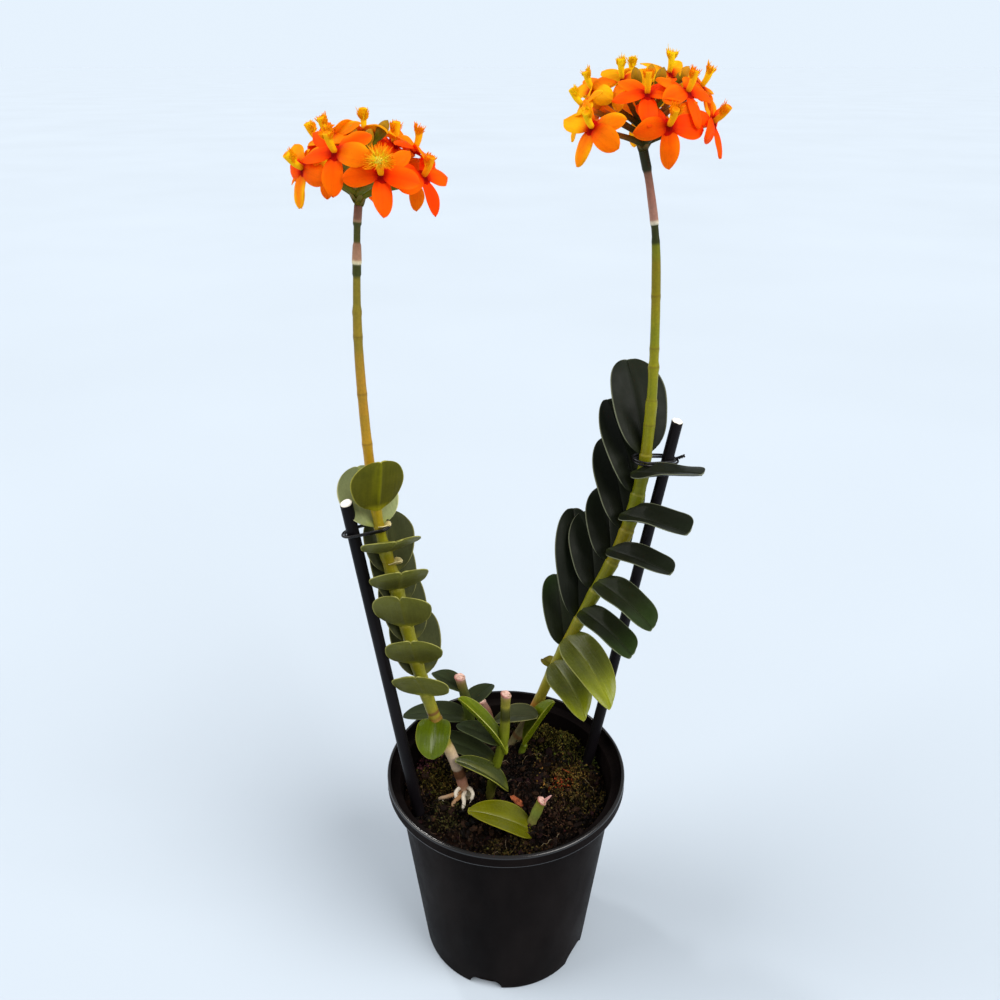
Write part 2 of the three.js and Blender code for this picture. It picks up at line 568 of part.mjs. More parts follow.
// one arched drain notch in the foot, cut outward through the wall
function notch(turn) {
  const [half, high] = [NOTCH.width / 2, NOTCH.height];
  const arch = new THREE.Shape();
  arch.moveTo(-half, -2);
  arch.lineTo(half, -2);
  arch.lineTo(half, 0.35 * high);
  arch.absellipse(0, 0.35 * high, half, 0.65 * high, 0, Math.PI, false);
  const geometry = new THREE.ExtrudeGeometry(arch,
    { depth: NOTCH.outer - NOTCH.inner, bevelEnabled: false, curveSegments: 3 });
  const out = heading(turn, 0);
  const side = new THREE.Vector3(-out.y, out.x, 0);
  geometry.applyMatrix4(new THREE.Matrix4().makeBasis(side, UP, out).setPosition(
    out.clone().multiplyScalar(NOTCH.inner)));
  return solidOf(geometry);
}

function pot() {
  const under = POT.height - POT.collar;
  const { rim, height, foot, floor, sides } = POT;
  const outside = [[0, 0], [foot - 1.2, 0], [foot, 1.2], [wallAt(under), under], [rim - 0.6, under],
    [rim, under + 1], [rim, height - 1]];
  const inside = [[rim - 0.7, height], [rim - 1.5, height - 0.6], [rim - 1.9, under + 1.7],
    [insideAt(under), under + 1.2], [insideAt(floor), floor], [0, floor]];
  const turns = Array.from({ length: NOTCH.count }, (_, k) => NOTCH.first + 360 * k / NOTCH.count);
  return solidOf(turned([...outside, ...inside], sides)).subtract(fuse(turns.map(notch)));
}

// gentle mounds of bark and peat, highest at the back right
function moundAt(x, y) {
  const waves = 1.6 * Math.sin(x / 9 + 1.1) * Math.cos(y / 8 - 0.6) + 1.1 * Math.sin(x / 4.3 - y / 5.1);
  const hill = 2.6 * Math.exp(-((x - 30) ** 2 + (y - 27) ** 2) / 260);
  const hollow = 1.6 * Math.exp(-(x ** 2 + (y - 4) ** 2) / 120);
  return waves + hill - hollow;
}

function soil(holes) {
  const low = POT.floor + SOIL.gap;
  const shoulder = SOIL.level - SOIL.shoulder;
  const reach = insideAt(SOIL.level) - SOIL.gap - 0.6;
  const top = Array.from({ length: SOIL.rings + 1 }, (_, k) => [reach * (1 - k / SOIL.rings), SOIL.level]);
  const geometry = turned([[0, low], [insideAt(POT.floor) - SOIL.gap - 0.4, low],
    [insideAt(shoulder) - SOIL.gap, shoulder], ...top], SOIL.sides);
  const place = geometry.getAttribute('position');
  for (let i = 0; i < place.count; i += 1) {
    const raised = place.getZ(i) > SOIL.level - 0.1;
    if (raised) place.setZ(i, SOIL.level + moundAt(place.getX(i), place.getY(i)));
  }
  return solidOf(geometry).subtract(fuse(holes));
}

// ---------- the whole plant ----------
const FINISH = {
  pot: { color: 0x1d1b1d, roughness: 0.45 },
  soil: { color: 0x3a2a1c, roughness: 0.95 },
  olive: { color: 0x8a8a2a, roughness: 0.5 },
  shade: { color: 0x5c6a2c, roughness: 0.45 },
  flower: { color: 0xf2641a, roughness: 0.6 },
  stake: { color: 0x15151a, roughness: 0.4 },
  wire: { color: 0x0c0b0e, roughness: 0.3 },
};
const group = new THREE.Group();

function add(name, body, finish) {
  const mesh = body.getMesh();
  const geometry = new THREE.BufferGeometry();
  geometry.setAttribute('position', new THREE.Float32BufferAttribute(mesh.vertProperties, 3));
  geometry.setIndex(new THREE.Uint32BufferAttribute(mesh.triVerts, 1));
  geometry.computeVertexNormals();
  const node = new THREE.Mesh(geometry, new THREE.MeshStandardMaterial({ ...finish, metalness: 0 }));
  node.name = name;
  group.add(node);
}

const stemHoles = [[CANE_LEFT, 2.85], [CANE_RIGHT, 2.95],
  ...SHOOTS.map(({ line, radius }) => [line, radius])];
const holes = [...STAKES.map(stakeHole), ...stemHoles.map(([line, radius]) => stemHole(line, radius))];
const roots = ROOTS.map((line) => tube(line.map(vec), [1.5, 1.3, 0.9], 6));

add('pot', pot(), FINISH.pot);
add('soil', soil(holes), FINISH.soil);
add('cane_left', fuse([cane(CANE_LEFT, LEAVES_LEFT, FOOT_LEFT, STALK_LEFT), ...roots]), FINISH.olive);
add('cane_right', cane(CANE_RIGHT, LEAVES_RIGHT, FOOT_RIGHT, STALK_RIGHT), FINISH.shade);
add('flower_head_left', head(CANE_LEFT, FLOWERS_LEFT, BUDS_LEFT, 1.6), FINISH.flower);
add('flower_head_right', head(CANE_RIGHT, FLOWERS_RIGHT, BUDS_RIGHT, 2.1), FINISH.flower);
SHOOTS.forEach((row) => add(row.name, shoot(row), FINISH.olive));
STAKES.forEach((row) => add(row.name, stake(row), FINISH.stake));
TIES.forEach((row) => add(row.name, tie(row), FINISH.wire));

export default group;
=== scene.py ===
"""Potted epidendrum orchid: fine pieces, materials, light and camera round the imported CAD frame.

Lengths are in millimetres, as in the CAD source, and become metres where a mesh is made.
Origin: middle of the pot's underside, +Z up, -Y is the front, +X the right.
"""
import math
from itertools import product

import bpy
import numpy as np
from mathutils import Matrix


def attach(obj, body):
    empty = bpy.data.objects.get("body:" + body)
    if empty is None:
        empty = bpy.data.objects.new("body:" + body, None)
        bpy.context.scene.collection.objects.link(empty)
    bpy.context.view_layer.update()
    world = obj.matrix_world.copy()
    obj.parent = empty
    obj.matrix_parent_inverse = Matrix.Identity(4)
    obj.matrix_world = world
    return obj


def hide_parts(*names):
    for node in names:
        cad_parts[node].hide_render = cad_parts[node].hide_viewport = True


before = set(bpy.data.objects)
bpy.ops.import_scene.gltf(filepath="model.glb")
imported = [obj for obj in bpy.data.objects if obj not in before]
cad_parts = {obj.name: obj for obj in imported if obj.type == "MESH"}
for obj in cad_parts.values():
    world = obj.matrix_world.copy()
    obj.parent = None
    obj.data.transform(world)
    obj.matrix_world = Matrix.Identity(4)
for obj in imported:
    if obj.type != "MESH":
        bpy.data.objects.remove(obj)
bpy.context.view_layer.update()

MM = 0.001
UP = np.array([0.0, 0.0, 1.0])

# ---------- driving dimensions, as in the CAD source ----------
POT_HEIGHT = 112
POT_RIM = 60
POT_COLLAR = 6.5
POT_WALL = 1.5
POT_FOOT = 43.5
POT_TOP = 55
POT_FLOOR = 2.2
NOTCH_COUNT = 5
NOTCH_FIRST = -104
NOTCH_WIDTH = 17
NOTCH_HEIGHT = 7.5
SOIL_LEVEL = 95.5
STAKE_RADIUS = 2.85
STAKE_SLANT = 0.36
WIRE_RADIUS = 0.56
WIRE_SPREAD = 0.65
LEAF_THICK = 1.3

# centre lines of the canes, from the foot to the head
CANE_LEFT = [(-17.6, -5, 84), (-20.5, -6, 97), (-24.3, -6, 115), (-34, -5, 144), (-42, -3, 174.5),
             (-50, -1, 215.7), (-56, 0, 246), (-59.3, 2, 284), (-60.5, 4, 332), (-58.5, 6, 371),
             (-57.2, 7, 384)]
CANE_RIGHT = [(0, 35, 86), (5.5, 36, 97), (16, 37, 118), (28, 38, 150), (45, 40, 188), (58, 42, 218),
              (65.5, 45, 249), (68, 47.5, 280), (68, 50, 314), (66, 54, 358), (62, 56, 383),
              (58, 57, 399)]

# leaves: height of the base on the cane, turn (0 = +X, -90 = front), rise, length, width, droop,
# fold, tone
LEAVES_LEFT = [
    (257.5, -62, 74, 27, 24.5, 2, 8, "young"), (236, -70, 41, 32, 26.5, 10, 5, "olive"),
    (217, -76, 50, 33, 26, 12, 4, "olive"), (198, -90, 64, 33, 27, 15, 4, "olive"),
    (178, -89, 60, 34, 27, 15, -4, "olive"), (160, -97, 60, 34, 27, 16, -5, "olive"),
    (145.2, -94, -2, 20.5, 17.5, 58, 8, "bright"), (248.5, 120, 46, 30, 28, 6, 4, "pale"),
    (224.5, 102, 62, 29, 24, 14, 16, "sage"), (208, 114, 62, 35, 22.5, 14, 16, "sage"),
    (188, 111, 60, 36, 23.5, 16, 16, "sage"), (169, 107, 56, 36, 25, 18, 16, "sage")]
LEAVES_RIGHT = [
    (263, 106, 66, 48, 29, 22, 14, "dark"), (243, 119, 66, 49, 26, 22, 12, "dark"),
    (224, 107, 64, 48, 27, 22, 16, "dark"), (206, 94, 60, 40, 26, 22, 16, "dark"),
    (190, 96, 60, 42, 25, 22, 16, "dark"), (173, 96, 72, 58, 24, 20, 16, "dark"),
    (157, 98, 58, 39, 22, 24, 18, "deep"), (252.5, -54, 22, 40, 18, 2, 10, "dark"),
    (231, -55, 17, 39, 22, 13, 20, "dark"), (212, -56, 15, 39, 18, 12, 18, "dark"),
    (190, -56, 14, 43, 19.5, 27, 16, "deep"), (173.5, -56, 13, 41, 17.8, 23, 16, "deep"),
    (157, -61, 8, 45, 22, 42, 16, "gloss"), (142, -64, 8, 36, 20.5, 38, 14, "gloss"),
    (143.5, 128, 34, 8.5, 8.5, 50, 20, "brown")]
BRACTS_LEFT = [(247.5, -28, 30, 6.6, 6, 0, 24, "cream"), (229.5, -25, 25, 7.4, 6.4, 0, 24, "cream")]

# flowers: throat from the head's branching point, turn and rise of the column, spin, size, lip from
# 1, spread and fringed, to narrow
FLOWERS_LEFT = [
    (-17, -10, 14, -140, 14, 0, 0.95, 0.45), (-4, -17, 20, -112, 30, 0, 1, 0.6),
    (12, -21, 13, -88, 26, 0, 1, 1), (25, -5, 10.5, -38, 32, 6, 1, 0.5),
    (21, 8, 18.5, 15, 48, 0, 0.95, 0.6), (12, 18, 20, -40, 46, 0, 0.95, 0.45),
    (2.5, 9, 25, 88, 60, 0, 0.9, 0.45), (-9, 4, 23, -132, 38, 0, 0.95, 0.5),
    (-14, 13, 21, -158, 30, 0, 0.95, 0.45), (-20, 6, 12, 176, 22, 0, 0.95, 0.45),
    (-13, 20, 13, 134, 15, 0, 0.95, 0.5), (1, 28, 12, 95, 18, 0, 1, 0.8),
    (19, 17, 9, 36, 15, 0, 0.95, 0.6)]
FLOWERS_RIGHT = [
    (6.5, -19, 11, -80, 20, 0, 1.08, 0.6), (-2, -14, 22, -98, 46, 0, 1, 0.55),
    (14, -11, 22.5, -50, 44, 0, 1, 0.55), (26, -7, 11.5, -26, 20, 14, 1, 0.45),
    (-23, -14, 10, -128, 18, -16, 1.05, 0.55), (-25, 2, 17, 178, 26, 0, 1, 0.5),
    (-21, 9, 23, -150, 34, 0, 0.95, 0.55), (-10, 5, 27, -112, 44, 0, 0.95, 0.55),
    (-4, 19, 27, 108, 60, 0, 0.95, 0.5), (9.5, 8, 29, -70, 56, 0, 0.95, 0.6),
    (23, 9, 24, -24, 38, 0, 1, 0.6), (16, 25, 22, 62, 40, 0, 0.95, 0.55),
    (-17, 21, 15, 138, 20, 0, 1, 0.6), (2, 32, 13, 94, 18, 0, 1, 0.8)]
BUDS_LEFT = [(-0.6, 1.5, 24), (5, -1, 23), (10, 4, 26), (5, 9, 24)]
BUDS_RIGHT = [(-5, -2, 28), (4.5, -3, 28), (14.5, 3, 29), (1.5, 4, 29)]

# cut-back shoots and the young shoot: centre line, radius, leaves as base, tip, width, droop,
# fold, tone
SHOOTS = {
    "cut_shoot_front": ([(-9.6, -3.8, 84), (-7.8, -3, 97), (-5.5, -2, 110.6), (-1.2, -1, 130),
                         (-0.1, 0, 155.8)], 2.5, [
        ((0.6, -9, 103), (-25, -11, 124), 16, 26, 26, "split"),
        ((0, -3.5, 122), (-24, 7, 148), 11.5, 24, 56, "fresh"),
        ((-4.8, -1.8, 114), (-44, 13, 119), 14, 34, 16, "moss"),
        ((-2.4, -1.2, 126), (-25, 9.5, 129), 14, 30, 16, "moss")]),
    "cut_shoot_left": ([(-14, 19, 86), (-15.6, 18.4, 97), (-18, 18, 121), (-19.8, 18, 135),
                        (-23.3, 18, 152.5)], 2.6, [
        ((-18.8, 18, 126), (-54, 22, 124.5), 17, 36, 14, "moss"),
        ((-19.6, 18, 134), (-7, 34, 135.5), 12, 20, 22, "moss"),
        ((-21.6, 18, 144), (-38, 26, 149), 12, 20, 20, "moss")]),
    "cut_shoot_back": ([(-4, 37, 88), (-5.6, 36.6, 97), (-9, 36, 114), (-12.8, 36, 123)], 2.1, [
        ((-7.6, 36, 108), (17, 24, 122), 17, 36, 16, "sage")]),
    "cut_shoot_right": ([(9.6, -24.5, 85), (12, -24.2, 95), (14, -24, 101), (17.2, -23.6, 110)],
                        2.4, [
        ((12, -28, 95), (-18.5, -30, 110), 20.5, 30, 12, "lime"),
        ((15.6, -23.8, 105.5), (21.6, -23, 113), 3.6, 0, 12, "dry")]),
    "young_shoot": ([(7.4, 27.4, 88), (9.4, 28, 97), (11, 28.4, 102)], 1.8, [
        ((10.2, 28.2, 99.5), (25.5, 28, 129), 14.5, 8, 38, "fresh")]),
}
# centre lines of the aerial roots
ROOTS = [[(-19.6, -6.5, 102.4), (-18, -9, 104), (-16.4, -11.4, 102.8), (-17.2, -12.8, 100.4)],
         [(-21, -6.5, 102), (-23.6, -8.2, 103.6), (-25.4, -10.6, 102.4), (-24.6, -12.4, 100.4)],
         [(-21, -7, 100.8), (-26, -10.4, 101.6), (-30, -11.2, 100.8), (-34, -10.8, 99.4)],
         [(-20.5, -7, 100.8), (-21.4, -11, 101.6), (-21, -14.4, 100.6), (-21.6, -17.6, 99.2)],
         [(-21.6, -9, 100.8), (-24, -12, 101.2), (-26.2, -14.6, 100.2), (-26.6, -16.4, 99.4)]]
# foot and top of each stake
STAKES = {"stake_left": ((-43, -18.4, 96), (-70.3, 0.8, 259.6)),
          "stake_right": ((43.5, 17.5, 97), (82.5, 54, 277.5))}


# ---------- numbers and colours ----------
CURVE_STEPS = 1200


def vec(values):
    """Numbers as an array of floats."""
    return np.array(values, float)


def unit(v):
    """Vectors scaled to a length of 1."""
    return v / np.linalg.norm(v, axis=-1, keepdims=True)


def ease(low, high, x):
    """0 below low, 1 above high, smooth between."""
    t = np.clip((np.asarray(x, float) - low) / (high - low), 0, 1)
    return t * t * (3 - 2 * t)


def tone(code):
    """A colour written as six hex digits, as linear light."""
    values = np.array([int(code[i:i + 2], 16) for i in (0, 2, 4)]) / 255
    return np.where(values > 0.04045, ((values + 0.055) / 1.055) ** 2.4, values / 12.92)


def blend(a, b, share):
    """Colours a and b mixed; share may be an array of any shape."""
    share = np.asarray(share, float)[..., None]
    return a * (1 - share) + b * share


def heading(turn, rise):
    """Unit direction for a turn round the vertical and a rise above the level, in degrees."""
    turn, rise = np.broadcast_arrays(np.radians(turn), np.radians(rise))
    return np.stack([np.cos(rise) * np.cos(turn), np.cos(rise) * np.sin(turn), np.sin(rise)], -1)


def spline(points, t):
    """Catmull-Rom curve through the points, at t from 0 to 1."""
    p = np.array(points, float)
    p = np.vstack([2 * p[0] - p[1], p, 2 * p[-1] - p[-2]])
    t = np.clip(np.asarray(t, float), 0, 1) * (len(points) - 1)
    i = np.minimum(t.astype(int), len(points) - 2)
    w = (t - i)[:, None]
    a, b, c, d = p[i], p[i + 1], p[i + 2], p[i + 3]
    return 0.5 * (2 * b + (c - a) * w + (2 * a - 5 * b + 4 * c - d) * w**2
                  + (3 * b - a - 3 * c + d) * w**3)


def at_heights(points, z):
    """Points of the curve at the given heights."""
    line = spline(points, np.linspace(0, 1, CURVE_STEPS))
    return np.stack([np.interp(z, line[:, 2], line[:, k]) for k in range(3)], -1)


def noise(points, size, seed=0):
    """Smooth value noise from -1 to 1, with cells of the given size."""
    p = np.asarray(points, float) / size + 100
    cell = np.floor(p).astype(np.int64)
    f = p - cell
    f = f * f * (3 - 2 * f)
    total = 0
    for corner in product((0, 1), repeat=3):
        x, y, z = [cell[..., k] + corner[k] for k in range(3)]
        h = (x * 73856093) ^ (y * 19349663) ^ (z * 83492791) ^ (seed * 2654435761)
        h = ((h ^ (h >> 13)) * 1274126177) & 0xFFFFFF
        weight = 1
        for k in range(3):
            weight = weight * (f[..., k] if corner[k] else 1 - f[..., k])
        total = total + weight * (h / 0x7FFFFF - 1)
    return total


def rough_noise(points, size, octaves, seed=0):
    """Noise with finer noise on top, each octave half as wide."""
    return sum(noise(points, size / 2**k, seed + k) / 1.9**k for k in range(octaves))


def grid(rows, columns):
    """Both values at each place of a grid."""
    return np.meshgrid(rows, columns, indexing="ij")


def circle(count):
    """Angles evenly round a full turn."""
    return np.linspace(0, 2 * math.pi, count, endpoint=False)


def polar(radii, count):
    """Grids of radius and angle, one row for each radius."""
    return grid(radii, circle(count))


def ball(slopes, count):
    """Rings of a unit ball, one for each angle from its top."""
    s, a = polar(slopes, count)
    return np.stack([np.sin(s) * np.cos(a), np.sin(s) * np.sin(a), np.cos(s)], -1)


def on_plane(x, y):
    """Points of the level plane, for noise that depends on place alone."""
    return np.stack([x, y, 0 * x], -1)


# ---------- mesh building ----------
class Part:
    """The points, colours, texture places, faces and material numbers of one visible piece."""

    def __init__(self):
        self.points = []
        self.colours = []
        self.places = []
        self.faces = []
        self.looks = []
        self.count = 0

    def add(self, points, faces, colour, place=None, look=0):
        """Adds a closed body; look is the number of its material."""
        points = np.asarray(points, float)
        flat = points.reshape(-1, 3)
        spread = np.broadcast_to(colour, points.shape).reshape(-1, 3)
        spot = points if place is None else np.broadcast_to(place, points.shape)
        self.points.append(flat)
        self.colours.append(spread)
        self.places.append(spot.reshape(-1, 3))
        for face in faces:
            self.faces.append([i + self.count for i in face])
        self.looks += [look] * len(faces)
        self.count += len(flat)


def grid_faces(rows, columns, round_rows=False, round_columns=False):
    """Four-cornered faces between a grid's points, closed round either way where asked."""
    r, c = grid(np.arange(rows if round_rows else rows - 1),
                np.arange(columns if round_columns else columns - 1))
    r2, c2 = (r + 1) % rows, (c + 1) % columns
    quads = [r * columns + c, r * columns + c2, r2 * columns + c2, r2 * columns + c]
    return np.stack(quads, -1).reshape(-1, 4).tolist()


def barrel_faces(rings, sides):
    """Faces of a closed body made of rings, with a flat face at each end."""
    last = (rings - 1) * sides
    ends = [list(range(sides))[::-1], list(range(last, last + sides))]
    return grid_faces(rings, sides, round_columns=True) + ends


def add_cap(part, rings, under, paint, look=0):
    """A closed cap: rings round a middle, and one more ring that closes it from below."""
    faces = grid_faces(len(rings) + 1, rings.shape[1], True, True)
    part.add(np.concatenate([rings, under]), faces, np.concatenate([paint, paint[-1:]]), look=look)


def sweep_frames(line):
    """Two cross directions at each point of the line, carried along without twist."""
    tangents = unit(np.gradient(line, axis=0))
    side = np.array([0.31, -0.9, 0.2])
    sides = []
    for t in tangents:
        side = unit(side - t * (side @ t))
        sides.append(side)
    return np.array(sides), np.cross(tangents, sides)


def tube(part, line, radii, sides, colour, look=0):
    """A closed tube; colour is one colour or one for each ring."""
    line = np.asarray(line, float)
    radii = np.broadcast_to(radii, len(line))[:, None, None]
    across, over = sweep_frames(line)
    angle = circle(sides)[None, :, None]
    ring = np.cos(angle) * across[:, None] + np.sin(angle) * over[:, None]
    place = ring * radii
    reach = np.concatenate([[0], np.cumsum(np.linalg.norm(np.diff(line, axis=0), axis=1))])
    place[..., 2] = reach[:, None]
    colour = np.asarray(colour, float)
    if colour.ndim == 2:
        colour = colour[:, None]
    part.add(line[:, None] + radii * ring, barrel_faces(len(line), sides), colour, place, look)


def ring_tube(part, line, radius, sides, colour):
    """A tube closed on itself."""
    t = unit(np.roll(line, -1, 0) - np.roll(line, 1, 0))
    out = line - line.mean(0)
    out = unit(out - t * np.sum(out * t, 1, keepdims=True))
    rise = np.cross(out, t)
    angle = circle(sides)[None, :, None]
    points = line[:, None] + radius * (np.cos(angle) * out[:, None] + np.sin(angle) * rise[:, None])
    part.add(points, grid_faces(len(line), sides, True, True), colour)


def slab(part, middle, half, upper, under, place, look=0):
    """A thin closed body round a grid of mid points, half its thickness to each face."""
    along = np.gradient(middle, axis=0)
    across = np.gradient(middle, axis=1)
    normal = np.cross(across, along)
    normal /= np.maximum(np.linalg.norm(normal, axis=-1, keepdims=True), 1e-9)
    shift = normal * half[..., None]
    points = np.concatenate([middle + shift, (middle - shift)[:, ::-1]], 1)
    colour = np.concatenate([np.broadcast_to(upper, middle.shape),
                             np.broadcast_to(under, middle.shape)[:, ::-1]], 1)
    spots = np.concatenate([place, place[:, ::-1]], 1)
    rows, columns = points.shape[:2]
    faces = grid_faces(rows, columns, round_columns=True)
    last = (rows - 1) * columns
    for j in range(columns // 2 - 1):
        k = columns - 1 - j
        faces.append([j + 1, j, k, k - 1])
        faces.append([last + j, last + j + 1, last + k - 1, last + k])
    part.add(points, faces, colour, spots, look)


def placed(name, data):
    """A new object in the scene for a mesh, light or camera."""
    obj = bpy.data.objects.new(name, data)
    bpy.context.scene.collection.objects.link(obj)
    return obj


def make(part, name, replaced, materials, crease=50):
    """Turns a part into a Blender object that rides on the body; crease is in degrees."""
    mesh = bpy.data.meshes.new(name)
    mesh.from_pydata((np.concatenate(part.points) * MM).tolist(), [], part.faces)
    rgba = np.ones((part.count, 4))
    rgba[:, :3] = np.clip(np.concatenate(part.colours), 0, 1)
    mesh.attributes.new("colour", "FLOAT_COLOR", "POINT").data.foreach_set("color", rgba.ravel())
    places = np.concatenate(part.places) * MM
    mesh.attributes.new("place", "FLOAT_VECTOR", "POINT").data.foreach_set("vector", places.ravel())
    mesh.polygons.foreach_set("material_index", part.looks)
    mesh.polygons.foreach_set("use_smooth", [True] * len(mesh.polygons))
    mesh.set_sharp_from_angle(angle=math.radians(crease))
    mesh.update()
    for material in materials:
        mesh.materials.append(material)
    obj = placed(name, mesh)
    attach(obj, "root")
    if replaced:
        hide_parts(*replaced)
    return obj


# ---------- materials ----------
# texture sizes, in cycles to the metre
EVEN = (1, 1, 1)
VEINS = (60, 1400, 60)
CELLS = 900
GLOSS_PATCHES = 260
CLOUDS = 38
SCUFFS = 90
# how high each bump stands, in metres
TISSUE_RELIEF = 0.0004
PLASTIC_RELIEF = 0.0002
LITTER_RELIEF = 0.0009
PLASTIC_DUST = (0.004, 0.003, 0.0026)


def principled(name, roughness, specular):
    """A new material, its node tree and its main shader."""
    material = bpy.data.materials.new(name)
    material.use_nodes = True
    shader = material.node_tree.nodes["Principled BSDF"]
    shader.inputs["Roughness"].default_value = roughness
    shader.inputs["Specular IOR Level"].default_value = specular
    return material, material.node_tree, shader


def node(tree, kind, **settings):
    """A new node with its inputs or its own settings filled in."""
    made = tree.nodes.new(kind)
    for key, value in settings.items():
        if key in made.inputs:
            made.inputs[key].default_value = value
        else:
            setattr(made, key, value)
    return made


def painted(tree):
    """The colour and the texture place that each mesh point holds."""
    paint = node(tree, "ShaderNodeAttribute", attribute_name="colour")
    spot = node(tree, "ShaderNodeAttribute", attribute_name="place")
    return paint.outputs["Color"], spot.outputs["Vector"]


def stretched(tree, spot, scale):
    """Texture places scaled along each axis."""
    mapping = node(tree, "ShaderNodeMapping")
    mapping.inputs["Scale"].default_value = scale
    tree.links.new(spot, mapping.inputs["Vector"])
    return mapping.outputs[0]


def noise_factor(tree, spot, scale, size, detail, low, high):
    """Noise brought between the values low and high."""
    cloud = node(tree, "ShaderNodeTexNoise", Scale=size, Detail=detail, Roughness=0.6)
    tree.links.new(stretched(tree, spot, scale), cloud.inputs["Vector"])
    limits = {"From Min": 0.3, "From Max": 0.7, "To Min": low, "To Max": high}
    span = node(tree, "ShaderNodeMapRange", **limits)
    tree.links.new(cloud.outputs["Fac"], span.inputs["Value"])
    return span.outputs[0]


def times(tree, colour, factor):
    """A colour multiplied by a factor."""
    scaled = node(tree, "ShaderNodeVectorMath", operation="MULTIPLY")
    tree.links.new(colour, scaled.inputs[0])
    tree.links.new(factor, scaled.inputs[1])
    return scaled.outputs[0]


def bump(tree, shader, heights, strength, distance):
    """Adds bumps from several height outputs one after the other."""
    before = None
    for height, share in heights:
        made = node(tree, "ShaderNodeBump", Strength=strength * share, Distance=distance)
        tree.links.new(height, made.inputs["Height"])
        if before:
            tree.links.new(before, made.inputs["Normal"])
        before = made.outputs[0]
    tree.links.new(before, shader.inputs["Normal"])
    return before


def tissue(name, roughness, vein, speckle, relief, glow=0.0, specular=0.5):
    """Plant tissue: painted colour with long veins and fine speckle, light passing through it."""
    material, tree, shader = principled(name, roughness, specular)
    paint, spot = painted(tree)
    veins = noise_factor(tree, spot, VEINS, 1.0, 3, 1 - vein, 1 + vein)
    cells = noise_factor(tree, spot, EVEN, CELLS, 3, 1 - speckle, 1 + speckle)
    colour = times(tree, times(tree, paint, veins), cells)
    tree.links.new(colour, shader.inputs["Base Color"])
    gloss = noise_factor(tree, spot, EVEN, GLOSS_PATCHES, 2, roughness * 0.85, roughness * 1.2)
    tree.links.new(gloss, shader.inputs["Roughness"])
    normal = bump(tree, shader, ((veins, 1.0), (cells, 0.6)), relief, TISSUE_RELIEF)
    if glow:
        through = node(tree, "ShaderNodeBsdfTranslucent")
        tree.links.new(colour, through.inputs["Color"])
        tree.links.new(normal, through.inputs["Normal"])
        both = node(tree, "ShaderNodeMixShader", Fac=glow)
        tree.links.new(shader.outputs[0], both.inputs[1])
        tree.links.new(through.outputs[0], both.inputs[2])
        tree.links.new(both.outputs[0], tree.nodes["Material Output"].inputs["Surface"])
    return material


def plastic(name, colour, roughness, grain, relief, specular):
    """Black plastic: a fine moulded grain, faint cloudiness and dust."""
    material, tree, shader = principled(name, roughness, specular)
    spot = node(tree, "ShaderNodeTexCoord").outputs["Object"]
    cloud = noise_factor(tree, spot, (1, 1, 0.35), CLOUDS, 5, 0, 1)
    dust = node(tree, "ShaderNodeMix", data_type="RGBA")
    tree.links.new(cloud, dust.inputs["Factor"])
    dust.inputs["A"].default_value = (*colour, 1)
    dust.inputs["B"].default_value = (*(colour * 1.5 + vec(PLASTIC_DUST)), 1)
    tree.links.new(dust.outputs["Result"], shader.inputs["Base Color"])
    gloss = noise_factor(tree, spot, (1, 1, 0.5), SCUFFS, 4, roughness * 0.85, roughness * 1.15)
    tree.links.new(gloss, shader.inputs["Roughness"])
    skin = noise_factor(tree, spot, EVEN, grain, 2, 0, 1)
    bump(tree, shader, ((skin, 1.0),), relief, PLASTIC_RELIEF)
    return material


def litter(name, roughness, size, relief, specular):
    """Soil, bark and moss: painted colour broken up at two scales, with a rough surface."""
    material, tree, shader = principled(name, roughness, specular)
    paint, _ = painted(tree)
    spot = node(tree, "ShaderNodeTexCoord").outputs["Object"]
    clods = noise_factor(tree, spot, EVEN, size, 6, 0.3, 1.6)
    crumbs = noise_factor(tree, spot, EVEN, size * 4.5, 4, 0.6, 1.4)
    tree.links.new(times(tree, times(tree, paint, clods), crumbs), shader.inputs["Base Color"])
    bump(tree, shader, ((clods, 1.0), (crumbs, 0.7)), relief, LITTER_RELIEF)
    return material


# tissues: roughness, veins, speckle, relief. plastics: colour, roughness, grain, relief, specular.
# litter: roughness, size of its clods, relief, specular
PETAL = tissue("petal_orange", 0.6, 0.07, 0.05, 0.14, glow=0.45, specular=0.06)
LIP = tissue("lip_yellow", 0.6, 0.08, 0.06, 0.2, glow=0.3, specular=0.05)
STALK = tissue("flower_stalk", 0.5, 0.14, 0.16, 0.25, specular=0.08)
LEAF = tissue("leaf", 0.5, 0.09, 0.08, 0.25, glow=0.12, specular=0.08)
LEAF_DARK = tissue("leaf_dark", 0.42, 0.08, 0.1, 0.22, glow=0.04, specular=0.12)
LEAF_GLOSSY = tissue("leaf_glossy", 0.26, 0.12, 0.08, 0.5, glow=0.12, specular=0.3)
REED = tissue("cane_skin", 0.36, 0.12, 0.12, 0.3, glow=0.05, specular=0.2)
ROOT = tissue("aerial_root", 0.7, 0.12, 0.14, 0.5)
CUT = tissue("cut_face", 0.6, 0.18, 0.25, 0.6)
PITH = tissue("stake_core", 0.7, 0.03, 0.05, 0.3, specular=0.1)
POT_BLACK = plastic("pot_black_plastic", tone("0a0707"), 0.42, 2600, 0.25, 0.012)
RIM_BLACK = plastic("pot_rim_plastic", tone("080708"), 0.16, 2600, 0.06, 0.5)
STAKE_BLACK = plastic("stake_black_plastic", tone("070609"), 0.36, 1800, 0.3, 0.1)
WIRE_BLACK = plastic("tie_black_wire", tone("09080b"), 0.3, 1500, 0.2, 0.3)
SOIL = litter("potting_mix", 0.85, 420, 0.9, 0.05)
BARK = litter("bark_chip", 0.6, 500, 0.8, 0.12)
